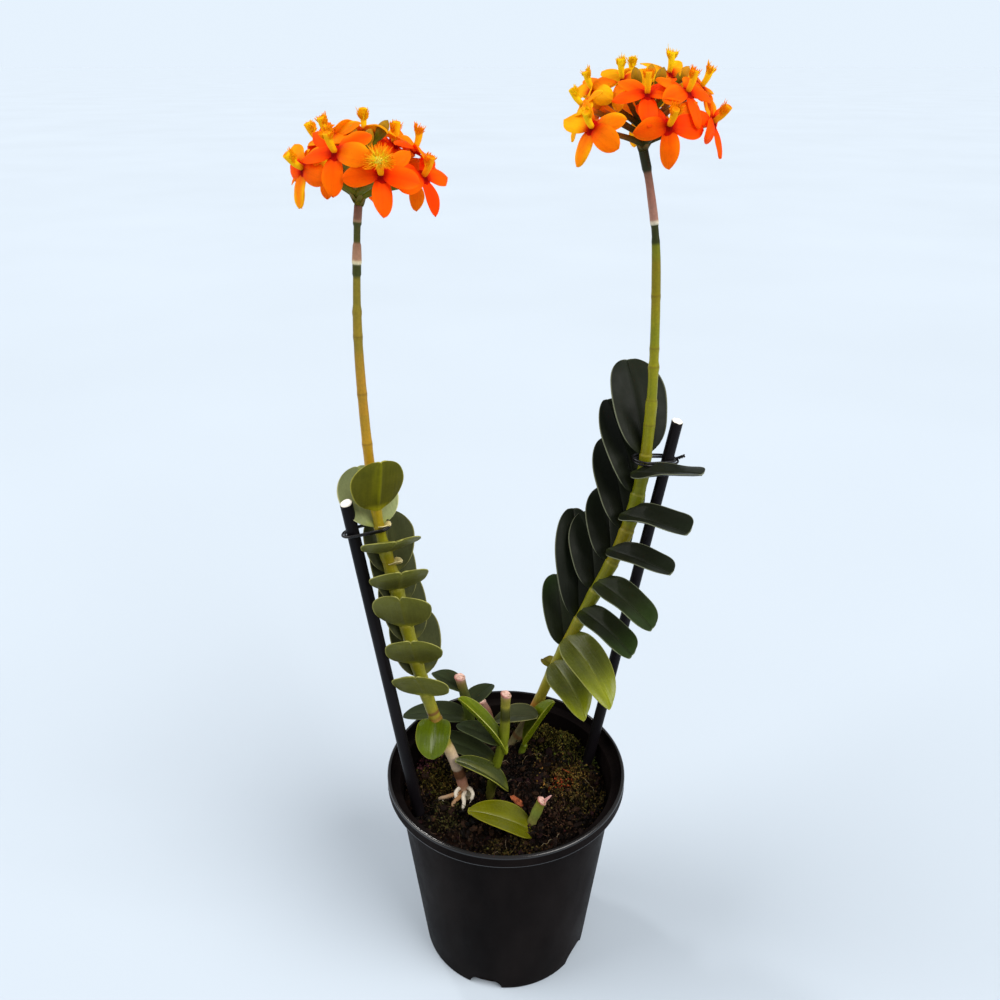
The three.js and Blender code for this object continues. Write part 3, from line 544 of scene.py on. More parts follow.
MOSS = litter("moss", 0.9, 700, 0.4, 0.04)


# ---------- leaves ----------
# tones: upper face, under face, margin with painted rim light, midrib, base, tip
TONES = {
    "olive": ("7c7c2a", "6c6c30", "a8a458", "6c6a26", "8c8a28", "74742a"),
    "young": ("545a14", "565412", "b0aa48", "84820c", "8a8414", "5c5c12"),
    "bright": ("4c5c04", "424e04", "8c8c2c", "58660a", "666a0c", "526204"),
    "pale": ("8c9462", "767e54", "e0dcac", "989e4e", "88904a", "5c6440"),
    "sage": ("42462a", "565a3c", "a09c60", "50522e", "64642a", "40442a"),
    # the "dark" and "deep" blades are painted nearly black: their own deep green, darkened further as
    # painted shade
    "dark": ("181c12", "14170f", "7c8066", "1e2216", "20260f", "1a2014"),
    "deep": ("1e2412", "1c2114", "7c8466", "262c18", "2a3212", "283a14"),
    "gloss": ("565c22", "50561c", "a4a458", "8c9030", "5c6018", "929a08"),
    "moss": ("2c331c", "2e3622", "5c6440", "384228", "4c5218", "2a331e"),
    "lime": ("626404", "565808", "9c9830", "74740c", "6c6a14", "64640c"),
    "split": ("3c4418", "6c7018", "9a9a40", "84843c", "545a1c", "363e18"),
    "fresh": ("6c7c0c", "6a780c", "a8a83c", "84900c", "7c8414", "6e7e0c"),
    "brown": ("767018", "6a6416", "8c7c38", "6c6420", "6c6420", "5c481c"),
    "cream": ("ecdc94", "dcc880", "f8ecb8", "e4d08c", "c8b458", "f4e4ac"),
    "dry": ("d8a098", "c89088", "e8c0b0", "c88c80", "a88c58", "e0b0b0"),
}
SIDE = np.array([0, 0.03, 0.09, 0.2, 0.34, 0.48, 0.62, 0.75, 0.87, 0.95, 1])
ACROSS = np.concatenate([-SIDE[:0:-1], SIDE])
ALONG = np.concatenate([[0, 0.04, 0.08], np.linspace(0.13, 0.8, 20), [0.84, 0.875, 0.905, 0.93,
                        0.95, 0.966, 0.978, 0.985]])
# blade shapes: widest place, power and root of the outline below it and above it, notch
ROUND = (0.5, 2, 0.5, 2, 0.5, 0.4)
OVAL = (0.53, 2.2, 0.52, 2.2, 0.5, 0.12)
BLUNT = (0.6, 2.4, 0.52, 4, 0.5, 0.6)
LOBED = (0.42, 2, 0.5, 2.2, 0.5, 3.4)
HEART = (0.42, 2.6, 0.4, 2, 0.55, 0)
TONGUE = (0.45, 2.6, 0.3, 1.9, 0.75, 0)
LANCE = (0.47, 2.2, 0.5, 1.9, 0.62, 0)
# the blade shape of each tone; front leaves of the others are blunt, back leaves oval
SHAPES = {"young": ROUND, "olive": LOBED, "sage": OVAL, "gloss": LANCE, "lime": TONGUE,
          "moss": LANCE, "split": LANCE, "bright": HEART, "pale": ROUND, "fresh": OVAL,
          "brown": ROUND, "cream": ROUND, "dry": LANCE}
LEAF_SEAT = 2.4
BLADE_END = 0.985
BLADE_STEPS = 100
BLADE_CUP = 1.2
NARROWEST = 0.2
# the groove along the rib and the wave of the blade: depth, and the groove's share of the width
GROOVE = -0.4
GROOVE_SHARE = 0.06
WAVE = 0.45
NOTCH_SHARE = 0.26
UNEVEN = 0.05
FULL_THICKNESS_WIDTH = 12
# how far apart two leaves' texture places lie
LEAF_APART = 37.0
# the right cane's front leaves hold the stem: heights of two leaves, and for both the base's width
# as a share of the blade's, and how far it lies to the right and up; then how far to the front, the
# base's round end as a share of the length, how it hangs, and how the blade's end slants
CLASP_HEIGHTS = (195, 213)
CLASP = ((0.66, 0.36), (0.4, -5.5), (7, 2.6))
CLASP_AHEAD = -2.5
CLASP_END = 0.13
CLASP_HANG = 0.35
CLASP_SLANT = 1.5
CLASPING_TONES = ("dark", "deep", "gloss")
DARK_TONES = ("dark", "deep")
GLOSSY_TONES = ("gloss", "bright", "lime", "split", "fresh")


def leaf_outline(u, shape):
    """Half width at u along the leaf, as a share of its greatest."""
    widest, low_power, low_root, high_power, high_root, _ = shape
    low = 1 - np.abs((widest - u) / widest) ** low_power
    high = 1 - np.abs((u - widest) / (1 - widest)) ** high_power
    return np.maximum(np.where(u < widest, low**low_root, high**high_root), NARROWEST)


def seat_out(turn, rise):
    """How far an upright leaf starts from the stem's axis, out through the stem's skin."""
    return heading(turn, 0) * LEAF_SEAT * math.sin(math.radians(rise)) ** 4


def leaf_paint(u, v, tones, seed):
    """Colours of a leaf's two faces over the grid of u along and v across."""
    face, under, margin_and_rim_light, rib, base, tip = [tone(t) for t in tones]
    cloud = noise(np.stack([u * 5, v * 2, u * 0 + seed], -1), 1.0, 3) * 0.5 + 0.5
    midrib = (1 - ease(0.01, 0.07, np.abs(v))) * ease(0, 0.3, u)
    sheen = np.exp(-((v - 0.14) / 0.12) ** 2) * ease(0.1, 0.5, u)
    # the pale edge is partly the blade's own pale margin and partly a painted rim of light along the
    # thin edge
    rim = ease(0.96, 1.0, np.abs(v)) * ease(0.03, 0.2, u)
    edge = np.maximum(rim, ease(0.976, BLADE_END, u))
    faces = []
    for colour, rib_share in ((face, 0.7), (under, 0.5)):
        paint = blend(colour, tip, 0.75 * ease(0.5, 0.95, u))
        paint = blend(paint, paint * 0.7, cloud * 0.75)
        paint = blend(paint, rib, rib_share * midrib)
        paint = blend(paint, rib, 0.35 * sheen)
        paint = blend(paint, base, 1 - ease(0.03, 0.16, u + 0.05 * v * v))
        faces.append(blend(paint, margin_and_rim_light, 0.75 * edge))
    return faces


def leaf(part, base, turn, rise, length, wide, droop, fold, kind, seed, look=0):
    """A blade that leaves the stem at base, droops along its length and folds along its rib."""
    clasping = kind in CLASPING_TONES and turn < 0
    shape = SHAPES.get(kind, BLUNT if turn < 0 else OVAL)
    u, v = grid(ALONG, ACROSS)
    fine = np.linspace(0, 1, BLADE_STEPS + 1)
    step = 1 / BLADE_STEPS
    path = np.cumsum(heading(turn, rise - droop * (fine - step / 2)) * length * step, axis=0)
    path = vec(base) + seat_out(turn, rise) + path - path[0]
    middle = np.stack([np.interp(u, fine, path[:, k]) for k in range(3)], -1)
    side = vec((math.sin(math.radians(turn)), -math.cos(math.radians(turn)), 0))
    along = heading(turn, rise - droop * u)
    face = np.cross(side, along)
    share = leaf_outline(u, shape)
    if clasping:
        hold, right, up = [np.interp(base[2], CLASP_HEIGHTS, pair) for pair in CLASP]
        cap = np.sqrt(1 - (1 - np.clip(u / CLASP_END, 0.06, 1)) ** 2)
        share = np.maximum(share, hold * (1 - ease(0.15, 0.6, u))) * cap
        middle = middle + vec((right, CLASP_AHEAD, up)) * (1 - u)[..., None]
        middle = middle + along * (CLASP_SLANT * v * ease(0.6, BLADE_END, u))[..., None]
    uneven = noise(np.stack([3 * u, np.sign(v) + seed, 0 * u], -1), 1, 8)
    half = (wide / 2 * share * (1 + UNEVEN * uneven))[..., None]
    if clasping:
        hang = CLASP_HANG * (1 - ease(0.05, 0.7, u))
        middle = middle - UP * half * v[..., None] * hang[..., None]
    tilt = math.radians(fold)
    bend = np.abs(v)[..., None] ** BLADE_CUP
    middle = middle + side * half * v[..., None] * math.cos(tilt) + face * half * bend * math.sin(tilt)
    wave = WAVE * np.sin(5.2 * u + 1.9 * seed + 1.3 * np.sign(v)) * v * v * ease(0.1, 0.4, u)
    groove = GROOVE * np.exp(-(v / GROOVE_SHARE) ** 2) * ease(0.05, 0.2, u)
    middle = middle + face * (wave + groove)[..., None]
    tip = 0.5 * (1 - v * v) - shape[-1] * np.exp(-(v / NOTCH_SHARE) ** 2)
    middle = middle + along * (tip * ease(0.8, BLADE_END, u))[..., None]
    thin = (1 - 0.72 * ease(0.6, 1, np.abs(v))) * (1 - 0.6 * ease(0.85, BLADE_END, u))
    thick = LEAF_THICK / 2 * thin * min(1, wide / FULL_THICKNESS_WIDTH)
    upper, under = leaf_paint(u, v, TONES[kind], seed)
    place = np.stack([u * length, v * half[..., 0], u * 0 + LEAF_APART * seed], -1)
    slab(part, middle, thick, upper, under, place, look)


def leaf_between(part, start, end, wide, droop, fold, kind, seed, look):
    """A leaf given by the places of its base and tip."""
    way = vec(end) - vec(start)
    length = np.linalg.norm(way)
    turn = math.degrees(math.atan2(way[1], way[0]))
    rise = math.degrees(math.asin(way[2] / length)) + droop / 2
    start = vec(start) - seat_out(turn, rise)
    leaf(part, start, turn, rise, length * 1.01, wide, droop, fold, kind, seed, look)


# ---------- canes and shoots ----------
# stem paint: height and colour, from the foot up
PAINT_LEFT = [
    (84, "a89478"), (99, "ac9c80"), (104, "a47c64"), (109, "9c6c58"), (110.5, "5a3c28"),
    (114.5, "6a4630"), (115.5, "b8a48c"), (122, "c0ae98"), (129, "ac9a70"), (131, "807c30"),
    (140, "848024"), (148.6, "807c20"), (149.3, "5c4420"), (150.1, "664c22"), (150.8, "7c7c1e"),
    (175, "80801e"), (246, "86821a"), (262, "968a1a"),
    (275, "ac841a"), (290, "b0821a"), (315, "a0781e"), (330, "88701e"), (356, "7c701e"),
    (357.6, "3c4010"), (361.6, "3a3e10"), (362, "d8d0a8"), (363, "d0c098"), (363.6, "a88064"),
    (369.5, "9c7258"), (370.5, "4c4c18"), (377.4, "444818"), (378, "a88c68"), (378.8, "88604a"),
    (384, "704c38")]
PAINT_RIGHT = [
    (86, "7c7050"), (104, "8c8058"), (112, "94845c"), (115, "a06424"), (121, "a4702c"),
    (124, "8c7c24"), (136, "8c8424"), (150, "84801c"), (200, "6c6e12"), (260, "74740e"),
    (300, "84800c"), (340, "78740c"), (360, "6c6c10"), (361.5, "2c300c"), (368.6, "2e300c"),
    (369.2, "d0c8b0"), (370.2, "c8b8a0"), (371, "a07464"), (384, "906858"), (390, "805a44"),
    (391.2, "282a0c"), (399, "2a2c0c")]
# swollen joints of the leafless stalks
JOINTS = {"cane_left": (287, 309, 333), "cane_right": (278, 290, 306, 314.5, 338)}
# height and radius of the sheathed stem, and of the bare foot and stalk
SHEATH = {"cane_left": ((140, 3.1), (180, 3.25), (226, 3.2), (240, 2.7), (250, 2.3)),
          "cane_right": ((140, 3), (170, 3.2), (200, 3.5), (225, 3.7), (250, 3.4), (262, 2.9))}
FOOT_LEFT = [(84, 2.7), (100, 2.8), (109, 2.65), (110.5, 2.9), (114, 2.6), (116, 2.9), (122, 2.75),
             (127, 2.8), (129, 2.5), (141, 2.7)]
STALK_LEFT = [(260.5, 2.3), (272, 2.25), (300, 2.1), (341, 1.8), (343, 2), (346, 1.6), (357, 1.5),
              (358, 1.8), (361.8, 1.75), (362.4, 1.95), (369, 1.65), (370, 1.35), (376, 1.35),
              (377, 1.7), (384, 1.6)]
FOOT_RIGHT = [(86, 2.8), (98, 2.9), (111, 2.7), (113, 3.1), (125, 3), (127, 2.7), (138, 2.9)]
STALK_RIGHT = [(268, 2.75), (283, 2.7), (288, 2.85), (291, 2.3), (300, 2.3), (306, 2.6),
               (309, 2.2), (335, 2.1), (362, 1.9), (364, 1.65),
               (368, 1.6), (369.6, 1.95), (390, 1.7), (392, 2.1), (399, 2.1)]
# how a sheath swells up to its rim: height over its leaf's base, added radius
SHEATH_RIM = ((-5, -0.15), (-2.2, 0.1), (0.3, 0.2), (1, -0.12), (2.6, -0.2))
RIMS_APART = 1.5
STEM_STEP = 0.45
STEM_SIDES = 28
STEM_UNEVEN = 0.035
JOINT_SWELL = 0.16
# the lower stem is blotched up to this height
BLOTCHED_UP_TO = 150
CUT_SIDES = 32
TAN_ROOTS = (2, 4)
ROOTLETS_EACH = 5


def by_height(table, z):
    """Colours at heights z from rows of height and colour."""
    heights = [row[0] for row in table]
    colours = np.array([tone(row[1]) for row in table])
    return np.stack([np.interp(z, heights, colours[:, k]) for k in range(3)], -1)


def cane_stem(name, points, leaves, foot, stalk, paint):
    """The reed stem: each leaf's sheath swells up to its rim at the leaf's base."""
    rings = list(foot)
    for z in sorted(row[0] for row in leaves):
        if z + SHEATH_RIM[1][0] > rings[-1][0] + RIMS_APART:
            r = np.interp(z, *zip(*SHEATH[name]))
            rings += [(z + rise, r + swell) for rise, swell in SHEATH_RIM]
    rings += stalk
    heights = np.arange(rings[0][0], rings[-1][0], STEM_STEP)
    radii = np.interp(heights, [r[0] for r in rings], [r[1] for r in rings])
    line = at_heights(points, heights)
    radii = radii * (1 + STEM_UNEVEN * noise(line, 6, 5))
    for z in JOINTS[name]:
        radii = radii + JOINT_SWELL * np.exp(-((heights - z) / 1.4) ** 2)
    part = Part()
    tube(part, line, radii, STEM_SIDES, stem_paint(name, line, heights, leaves, paint))
    make(part, name + "_stem", [name], [REED])


def stem_paint(name, line, heights, leaves, paint):
    """Colours up a stem, with drifts of tint, pale sheath rims, painted shade just above each rim,
    dark joints and blotches.
    """
    colours = by_height(paint, heights)
    drift = rough_noise(line, 11, 2, 15)
    colours = blend(colours, colours * vec((1.2, 0.8, 0.6)), 0.5 * ease(0, 0.8, drift))
    colours = blend(colours, colours * vec((0.7, 0.85, 0.8)), 0.5 * ease(0, 0.8, -drift))
    for z, *_ in leaves:
        rim = np.exp(-((heights - z - 0.2) / 0.4) ** 2)
        # painted shade: the stem darkened just above each sheath's rim, where the rim would shadow it
        above = np.exp(-((heights - z - 1.3) / 0.6) ** 2)
        colours = blend(colours, tone("a89c44"), 0.3 * rim)
        colours = blend(colours, colours * 0.6, 0.4 * above)
    for z in JOINTS[name]:
        colours = blend(colours, tone("5c4414"), 0.5 * np.exp(-((heights - z - 0.3) / 0.4) ** 2))
    blotch = ease(0.1, 0.75, rough_noise(line, 5, 2, 9)) * (heights < BLOTCHED_UP_TO)
    return blend(colours, tone("744420"), 0.65 * blotch)


def cane_leaves(name, points, leaves):
    """All leaves of a cane, each leaving the stem at its height."""
    part = Part()
    for k, (z, turn, rise, length, wide, droop, fold, kind) in enumerate(leaves):
        look = 1 if kind in GLOSSY_TONES else 2 if kind in DARK_TONES else 0
        leaf(part, at_heights(points, z), turn, rise, length, wide, droop, fold, kind, k + 1.0, look)
    make(part, name + "_leaves", [name], [LEAF, LEAF_GLOSSY, LEAF_DARK])


def aerial_roots():
    """Stubby pale roots that leave the left cane's foot, with a few rootlets."""
    part = Part()
    rng = np.random.default_rng(11)
    pale, tan = tone("ccc2b0"), tone("8a6238")
    reach = np.linspace(0, 1, 22)
    for k, row in enumerate(ROOTS):
        line = spline(row, reach)
        line = line + 0.35 * np.stack([noise(line, 4, 20 + k + j) for j in range(3)], -1)
        radii = (1.05 - 0.2 * reach) * np.sqrt(1 - ease(0.9, 1.04, reach) * 0.98)
        radii = radii * (1 + 0.14 * noise(line, 2.4, 31))
        browned = 0.8 * (k in TAN_ROOTS) + 0.5 * (1 - reach) ** 2 + 0.2 * noise(line, 3, 7)
        tube(part, line, radii, 14, blend(pale, tan, np.clip(browned, 0, 1)))
        for _ in range(ROOTLETS_EACH):
            start = line[rng.integers(6, 20)]
            way = unit(vec((rng.normal(), rng.normal(), -0.9 - rng.random())))
            steps = np.linspace(0, 1, 7)[:, None]
            thin = start + way * steps * rng.uniform(2, 5) + 0.5 * rng.normal(size=3) * steps**2
            tube(part, thin, np.linspace(0.26, 0.09, 7), 6, pale * 0.85)
    make(part, "cane_left_roots", ["cane_left"], [ROOT])


# shoot paint: height and colour, from the foot up
SHOOT_PAINT = {
    "cut_shoot_front": [(84, "44361c"), (97, "4c4a1c"), (107, "586012"), (112, "34301a"),
                        (114, "5c6614"), (132, "646c16"), (141.5, "66681a"), (142, "34360e"),
                        (148, "3a3c12"), (148.6, "827c2a"), (154, "88802e"), (155.8, "a88468")],
    "cut_shoot_left": [(84, "382c1c"), (100, "40441a"), (130, "3a4416"), (140, "424a1a"),
                       (146, "50521e"), (150, "685a2c"), (152.5, "a07c64")],
    "cut_shoot_back": [(84, "3a281e"), (100, "443a26"), (112, "6c4c3c"), (118, "8a6050"),
                       (123, "a07c6c")],
    "cut_shoot_right": [(84, "3c3020"), (94, "4c4428"), (99, "78783c"), (104, "6c7834"),
                        (110, "74742a")],
    "young_shoot": [(84, "34341a"), (95, "4c5818"), (102, "66760e")],
}


def shoot(name):
    """A cut-back or young shoot with its leaves."""
    line, radius, leaves = SHOOTS[name]
    part = Part()
    steps = np.linspace(0, 1, 70)
    middle = spline(line, steps)
    radii = radius * (1 + 0.05 * np.sin(steps * 19) + 0.04 * noise(middle, 5, 3))
    colours = by_height(SHOOT_PAINT[name], middle[:, 2])
    colours = blend(colours, colours * 0.6, 0.6 * ease(0.2, 0.8, rough_noise(middle, 4, 2, 13)))
    if name == "young_shoot":
        radii = radii * (1 - 0.85 * ease(0.75, 1, steps))
    tube(part, middle, radii, 24, colours)
    if name.startswith("cut"):
        cut_face(part, middle[-1], unit(middle[-1] - middle[-4]), radii[-1])
    for k, (start, end, wide, droop, fold, kind) in enumerate(leaves):
        look = 2 if kind in GLOSSY_TONES else 1
        leaf_between(part, start, end, wide, droop, fold, kind, 20.0 + k, look)
    make(part, name + "_fine", [name], [REED, LEAF, LEAF_GLOSSY, CUT])


def cut_face(part, centre, way, radius):
    """The slanting pale cut at a shoot's top: a rim of skin round paler pith."""
    side = unit(np.cross(way, vec((0.3, 0.8, 0.1))))
    other = np.cross(way, side)
    r, a = polar(np.linspace(0.02, 1.06, 9), CUT_SIDES)
    x, y = r * np.cos(a), r * np.sin(a)
    rim = 1.2 * ease(0.72, 0.95, r) - 1.5 * ease(0.98, 1.06, r)
    lift = 0.35 + 0.7 * x + 0.25 * noise(on_plane(x * 4, y * 4), 1, 41) + 0.35 * rim
    points = centre + radius * (x[..., None] * side + y[..., None] * other) + lift[..., None] * way
    under = np.broadcast_to(centre - 0.8 * way, (1, CUT_SIDES, 3)) + 0.02 * (points[:1] - centre)
    skin = blend(tone("d0aa9c"), tone("98544c"), ease(0.7, 0.95, r) * (0.5 + 0.5 * np.cos(a - 1)))
    skin = blend(skin, tone("8c6444"), 0.6 * ease(0.1, 0.8, noise(points, 0.8, 51)))
    add_cap(part, points, under, skin, look=3)


# ---------- flowers ----------
# petals and sepals: angle round the column, length, width, lift
TEPALS = ((-90, 15, 8.2, 0), (-10, 14, 9.2, 0.8), (36, 14, 7.4, -0.2), (144, 14, 7.4, -0.2),
          (190, 14, 9.2, 0.8))
PETAL_WIDEST = 0.58
PETAL_THICK = 0.34
# the lip's lobes: angle and length; a slim lip is folded and closed, an open one has a tassel
LOBES = ((4, 5.8), (90, 6.6), (176, 5.8))
LOBE_THICK = 0.16
LOBE_HALF_ANGLE = 0.7
LIP_FOLD = 82
SLIMMEST = 0.45
TASSEL_FROM = 0.75
FRINGE_THREADS = 15
TASSEL_THREADS = 190
BUD_LENGTH = 9.6
BUD_RADIUS = 2.2
BUD_STALK_RADIUS = 0.8
# how far each flower is from red-orange (0) to yellow (1)
# the yellow is partly the flowers' own colour and partly a painted glow of light shining through them
# from behind; the right head's left-hand flowers are the yellowest
TINTS_LEFT = (0.6, 0.4, 0.35, 0.2, 0.35, 0.5, 0.7, 0.6, 0.65, 0.6, 0.5, 0.4, 0.4)
TINTS_RIGHT = (0.3, 0.35, 0.35, 0.3, 0.75, 0.95, 0.9, 0.95, 1, 0.95, 0.65, 0.8, 0.9, 0.8)
TINT_SPREAD = 0.28
RED, FLAME, ORANGE, AMBER, YELLOW = [tone(c) for c in
                                     ("d81400", "ff4c00", "ff7000", "ff9c06", "ffcc10")]


def petal_tone(t):
    """Petal colour from flame (0) through orange and amber to yellow (1)."""
    rows = np.stack([FLAME, ORANGE, AMBER, YELLOW])
    return np.stack([np.interp(t, [0, 0.4, 0.75, 1], rows[:, k]) for k in range(3)], -1)


class Bloom:
    """Throat, axes and size of one flower, and the claw's end and axes of its lip."""

    def __init__(self, origin, row):
        x, y, z, turn, rise, spin, self.size, self.lip = row
        self.slim = (1 - self.lip) / (1 - SLIMMEST)
        self.ahead = heading(turn, rise)
        up = unit(UP - self.ahead * self.ahead[2])
        right = np.cross(self.ahead, up)
        spin = math.radians(spin)
        self.up = up * math.cos(spin) + right * math.sin(spin)
        self.right = np.cross(self.ahead, self.up)
        self.throat = origin + vec((x, y, z))
        self.face = unit(self.ahead * (0.94 - 0.1 * self.slim) + self.up * (0.1 + 0.35 * self.slim))
        self.top = unit(self.up - self.face * (self.up @ self.face))
        self.side = np.cross(self.face, self.top)
        self.claw = self.at(6.2 - 2.2 * self.slim, 2.2 - 0.9 * self.slim)
        self.fold = math.radians(LIP_FOLD) * min(1, 1.2 * self.slim)

    def at(self, ahead, up, right=0.0):
        """Point at distances along the flower's own axes, times its size."""
        ahead, up, right = [np.asarray(d, float)[..., None] for d in (ahead, up, right)]
        return self.throat + self.size * (ahead * self.ahead + up * self.up + right * self.right)

    def on_lip(self, angle, r, lift):
        """Point of the lip at an angle and distance round the claw's end, lifted off its face."""
        angle, r, lift = [np.asarray(d, float)[..., None] for d in (angle, r, lift)]
        out = np.cos(angle) * self.side + np.sin(angle) * self.top
        wide = r * math.cos(self.fold) + 1.1 * self.slim
        return self.claw + self.size * (wide * out + (r * math.sin(self.fold) + lift) * self.face)


def tepal_outline(u):
    """Width along a petal as a share of its widest."""
    low = 1 - np.abs((PETAL_WIDEST - u) / PETAL_WIDEST) ** 2
    high = 1 - np.abs((u - PETAL_WIDEST) / (1 - PETAL_WIDEST)) ** 2.3
    return np.maximum(np.where(u < PETAL_WIDEST, low**0.68, high**0.66), 0.02)


def tepal(part, bloom, row, tint, rng):
    """A petal or sepal with its own bow, cup, twist and cloudy colour, red at its base."""
    angle, length, wide, lift = row
    angle = math.radians(angle + rng.uniform(-5, 5))
    u, v = grid(np.linspace(0.03, 1, 20), np.sin(np.linspace(-1, 1, 11) * math.pi / 2))
    half = wide / 2 * tepal_outline(u) * rng.uniform(0.76, 1)
    twist = np.clip(rng.normal(0, 0.5), -1, 1) * u
    curl = rng.uniform(-1.6, 1.2)
    bow = 1.1 * np.sin(math.pi * u) - (1.4 + curl) * u * u + lift
    cup = rng.uniform(-0.16, 0.02) * wide * v * v * ease(0.1, 0.6, u)
    cup = cup - 0.14 * np.exp(-(v / 0.14) ** 2) * ease(0.05, 0.3, u)
    cup = cup + 0.2 * np.sin(9 * u + 7 * tint) * v * np.abs(v) * ease(0.3, 0.7, u)
    reach = u * length * rng.uniform(0.95, 1.04)
    right = reach * math.cos(angle) - v * half * math.sin(angle) * np.cos(twist)
    up = reach * math.sin(angle) + v * half * math.cos(angle) * np.cos(twist)
    middle = bloom.at(v * half * np.sin(twist), up, right) + (bow + cup)[..., None] * bloom.ahead
    thick = PETAL_THICK * (1 - 0.6 * ease(0.6, 1, np.abs(v))) * (1 - 0.5 * ease(0.85, 1, u))
    cloud = noise(np.stack([u * 2.4, v * 1.2, 0 * u + 9 * tint + angle], -1), 1, 6)
    # the edges are painted towards yellow, a painted glow of light shining through the thin petal
    # edges; the base is redder
    shade = tint + 0.16 * cloud + 0.1 * ease(0.5, 1, np.abs(v)) - 0.3 * (1 - ease(0.15, 0.5, u))
    paint = petal_tone(np.clip(shade, 0, 1))
    paint = blend(paint, paint * vec((0.92, 0.66, 0.6)), 0.5 * np.exp(-(v / 0.07) ** 2) * (1 - u))
    inner = blend(paint, RED, 1 - ease(0.1, 0.27, u))
    place = np.stack([reach, v * half, u * 0 + 50 * tint + angle], -1)
    slab(part, middle, thick, inner, petal_tone(np.clip(shade + 0.1, 0, 1)), place, 0)


def column(part, bloom, tint):
    """The column fused with the lip's claw, rising out of the red throat to the anther cap."""
    ahead, up = 6.2 + 2 * bloom.slim, 2.2 + bloom.slim
    t = np.linspace(0, 1, 24)
    line = spline([bloom.at(-1.4, -0.3), bloom.at(1.2, 0), bloom.at(0.6 * ahead, 0.36 * up),
                   bloom.at(ahead, up), bloom.at(ahead + 0.9, up + 0.6)], t)
    radii = np.interp(t, [0, 0.25, 0.45, 0.65, 0.85, 0.94, 1], [1.4, 1.1, 1.25, 1.5, 1.6, 1.35, 0.3])
    gold = blend(petal_tone(0.65 + 0.5 * tint), tone("ffe016"), 0.95 * tint)
    paint = blend(RED, gold, ease(0.2, 0.4, t))
    paint = blend(paint, petal_tone(0.35 + 0.5 * tint), ease(0.88, 1, t))
    tube(part, line, radii * bloom.size, 14, paint)


def throat(part, bloom):
    """The deep red mouth under the column, and the petals' joined hub round it."""
    r, a = polar([0.03, 0.5, 0.9, 1.3, 1.8], 18)
    points = bloom.at(2 - 0.8 * r, 1.9 * r * np.sin(a) - 0.9, 1.6 * r * np.cos(a))
    under = bloom.at(-0.4 + 0 * a[:1], -0.7 + 0.1 * np.sin(a[:1]), 0.1 * np.cos(a[:1]))
    add_cap(part, points, under, blend(tone("980200"), tone("d81000"), ease(0.5, 1.4, r)))


def lip(part, bloom, tint, rng):
    """Toothed lobes with a fringe: spread flat on an open flower, folded forward on a slim one."""
    bright = blend(AMBER, tone("fce410"), np.clip(0.2 + tint, 0, 1))
    edge = blend(petal_tone(0.45 + 0.5 * tint), bright, 0.2 + 0.7 * bloom.slim * tint)
    for middle, reach in LOBES:
        reach = reach * (0.66 + 0.34 * bloom.lip)
        lobe(part, bloom, middle, reach, tint, bright, edge)
        fringe(part, bloom, math.radians(middle), reach, tint, blend(bright, edge, 0.6), rng)
    if bloom.lip > TASSEL_FROM:
        tassel(part, bloom, rng)
    for shift in (-0.75, 0.75):
        ridge = [bloom.at(5.8, 1.6, shift), bloom.at(6.9, 1.9, shift * 1.1),
                 bloom.at(7.3, 2.8, shift * 1.2), bloom.at(6.9, 3.6, shift)]
        line = spline(ridge, np.linspace(0, 1, 9))
        tube(part, line, 0.5 * np.sin(np.linspace(0.35, 2.8, 9)), 8, tone("ffe418"))


def lobe(part, bloom, middle, reach, tint, bright, edge):
    """One rippled fan of the lip with a toothed edge; middle is its angle in degrees."""
    r, a = grid(np.linspace(0, 1, 8), np.linspace(-LOBE_HALF_ANGLE, LOBE_HALF_ANGLE, 17))
    teeth = 1 + 0.2 * np.sin(a * 26 + middle) * ease(0.5, 1, r)
    ripple = 0.3 * np.sin(a * 12 + tint * 9) * r
    far = (0.7 + (0.8 * reach - 0.7) * r) * teeth
    fan = bloom.on_lip(math.radians(middle) + a * (0.6 + 0.4 * r), far, 0.4 + ripple)
    paint = blend(bright, edge, ease(0.35, 0.9, r))
    place = np.stack([r * reach, a * 3, 0 * r + middle], -1)
    slab(part, fan, np.full(r.shape, LOBE_THICK), paint, paint, place, 0)


def fringe(part, bloom, centre, reach, tint, colour, rng):
    """Fine threads that stand out of one lobe's edge."""
    t = np.linspace(0, 1, 5)
    for k in range(FRINGE_THREADS):
        angle = centre + (k / 7 - 1) * 0.72 + rng.uniform(-0.05, 0.05)
        far = reach * rng.uniform(0.86 - 0.3 * bloom.slim, 1.14 - 0.16 * bloom.slim)
        curl = rng.uniform(-0.3, 1)
        root = reach * (0.6 - 0.5 * bloom.slim * rng.random())
        along = root + (far - 0.6 * reach) * t
        line = bloom.on_lip(angle + 0.12 * curl * t, along, 0.4 + 0.5 * t + curl * t * t)
        away = line[-1] - bloom.claw
        out = unit(away - bloom.face * (away @ bloom.face))
        line = line + out * (1.1 * bloom.slim * t)[:, None]
        paint = blend(colour, petal_tone(0.3 + 0.5 * rng.random()), t * (1 - 0.8 * tint))
        tube(part, line, np.linspace(0.26, 0.08, 5) * bloom.size, 4, paint)


